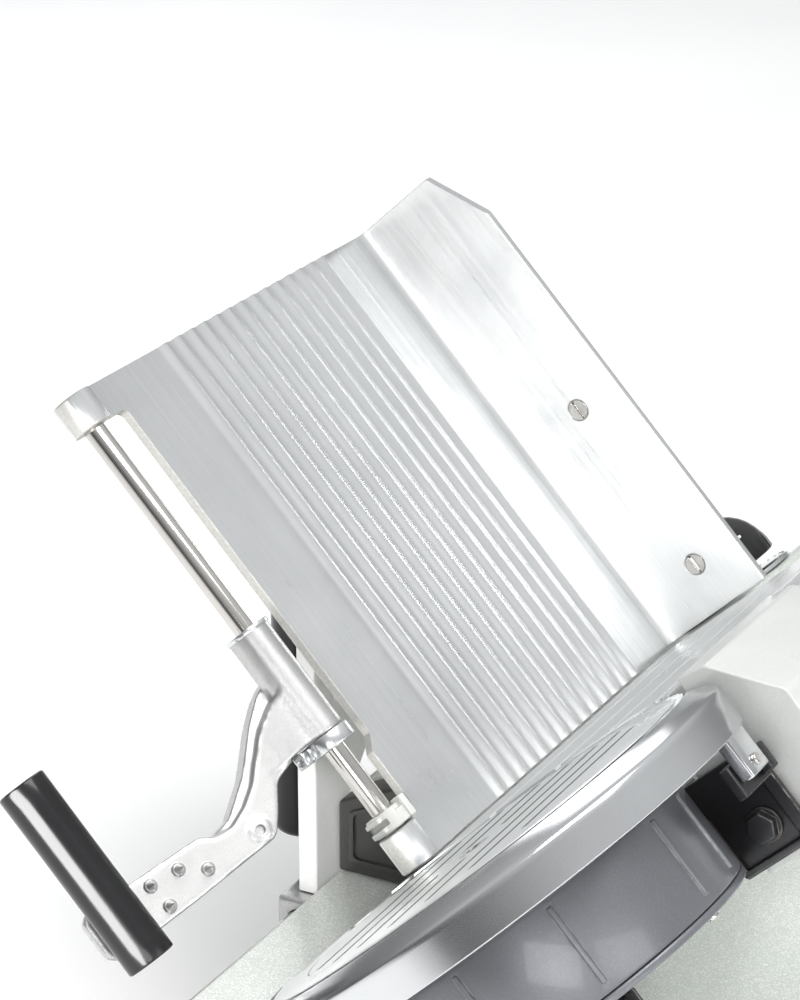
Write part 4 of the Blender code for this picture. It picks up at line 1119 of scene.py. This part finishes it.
world = bpy.data.worlds.new("studio")
scene.world = world
sky = Nodes(world)
sky.tree.nodes.clear()
out = sky.add("ShaderNodeOutputWorld")
direction = sky.add("ShaderNodeTexCoord").outputs["Generated"]
x, y, z = sky.add("ShaderNodeSeparateXYZ", {0: direction}).outputs
# light above, a little lighter towards the left and the back
level = sky.math("ADD", sky.ramp(z, (0.05, 0.85), to=(0.12, 0.66)),
                 sky.ramp(x, (-0.9, 0.2), to=(0.20, 0.0)))
level = sky.math("ADD", level, sky.ramp(y, (0.0, 0.9), to=(0.0, 0.12)))
tone = sky.add("ShaderNodeCombineColor")
for k, share in enumerate((0.985, 1.0, 1.01)):  # faintly blue
    sky.put(tone, k, sky.math("MULTIPLY", level, share))
glow = sky.add("ShaderNodeBackground", {"Color": tone.outputs[0], "Strength": 1.0})
# the camera sees plain pale grey instead
plain = sky.add("ShaderNodeBackground", {"Color": (0.93, 0.93, 0.93, 1), "Strength": 1.0})
path = sky.add("ShaderNodeLightPath")
mixer = sky.add("ShaderNodeMixShader", {0: path.outputs["Is Camera Ray"], 1: glow.outputs[0],
                                        2: plain.outputs[0]})
sky.put(out, 0, mixer.outputs[0])


# ---------------- lights, in metres and watts
def softbox(name, where, aim, size, power, colour=(1, 1, 1), only=(), skip=None):
    """A rectangular light; it lights all pieces, only those named, or all but one."""
    light = bpy.data.lights.new(name, "AREA")
    light.shape = "RECTANGLE"
    light.size, light.size_y = size
    light.energy = power
    light.color = colour
    ob = bpy.data.objects.new(name, light)
    scene.collection.objects.link(ob)
    ob.location = where
    ob.rotation_euler = (Vector(aim) - Vector(where)).to_track_quat("-Z", "Y").to_euler()
    if only or skip:
        group = bpy.data.collections.new(("not_lit_by_" if skip else "lit_by_") + name)
        for piece in only or (skip,):
            group.objects.link(bpy.data.objects[piece])
        if skip:
            group.collection_objects[0].light_linking.link_state = "EXCLUDE"
        ob.light_linking.receiver_collection = group


softbox("key_top", where=(0.35, 0.55, 2.3), aim=(0, 0, 0.2), size=(1.5, 1.5), power=46,
        colour=(1.0, 0.995, 0.985), skip="tray_body")
softbox("leg_fill", where=(1.49, 0.72, 1.01), aim=(0.17, -0.13, 0.2), size=(0.25, 0.25),
        power=60, colour=(1.0, 1.0, 0.99), only=("arm_web",))
softbox("base_fill", where=(1.49, 0.72, 1.01), aim=(0.17, -0.05, 0.1), size=(0.25, 0.25),
        power=24, colour=(1.0, 1.0, 0.99), only=("base_tub",))
softbox("grip_strip", where=(1.3, -0.17, 0.21), aim=(0.23, -0.14, 0.2), size=(1.0, 1.0),
        power=80, only=("pusher_grip",))
softbox("camera_side", where=(1.9, 1.15, 0.75), aim=(0, 0, 0.15), size=(1.0, 0.7), power=11,
        skip="guard_band")
softbox("front_left", where=(-1.7, -1.7, 1.2), aim=(0, 0, 0.2), size=(1.0, 1.2), power=7,
        colour=(0.97, 0.98, 1.0))
softbox("rear", where=(0.9, 2.2, 0.9), aim=(0, 0, 0.2), size=(1.2, 0.7), power=9,
        colour=(0.98, 0.99, 1.0))
softbox("tray_side", where=(2.4, 0.36, 0.62), aim=(-0.1, 0, 0.3), size=(0.9, 0.5), power=34,
        only=("tray_body", "fence_screw_head_upper", "fence_screw_head_lower"))

scene.view_settings.view_transform = "Standard"
scene.view_settings.look = "None"
scene.view_settings.exposure = 0.0

# ---------------- camera, its place and picture axes given in the tilted frame: x, f, n
cam = bpy.data.cameras.new("camera")
cam.lens = 123.12
cam.sensor_width = 36.0
cam_ob = bpy.data.objects.new("camera", cam)
scene.collection.objects.link(cam_ob)
place = TILTED @ (Vector((1706.0, -110.0, 1112.0)) * MM)
turn = TILTED.to_3x3()
ahead = (turn @ Vector((-0.816, -0.027, -0.577))).normalized()
right = turn @ Vector((-0.474, 0.603, 0.642))
right = (right - ahead * right.dot(ahead)).normalized()
up = right.cross(ahead).normalized()
cam_ob.matrix_world = Matrix((
    (right.x, up.x, -ahead.x, place.x),
    (right.y, up.y, -ahead.y, place.y),
    (right.z, up.z, -ahead.z, place.z),
    (0, 0, 0, 1)))
cam.clip_start, cam.clip_end = 0.05, 60
scene.camera = cam_ob
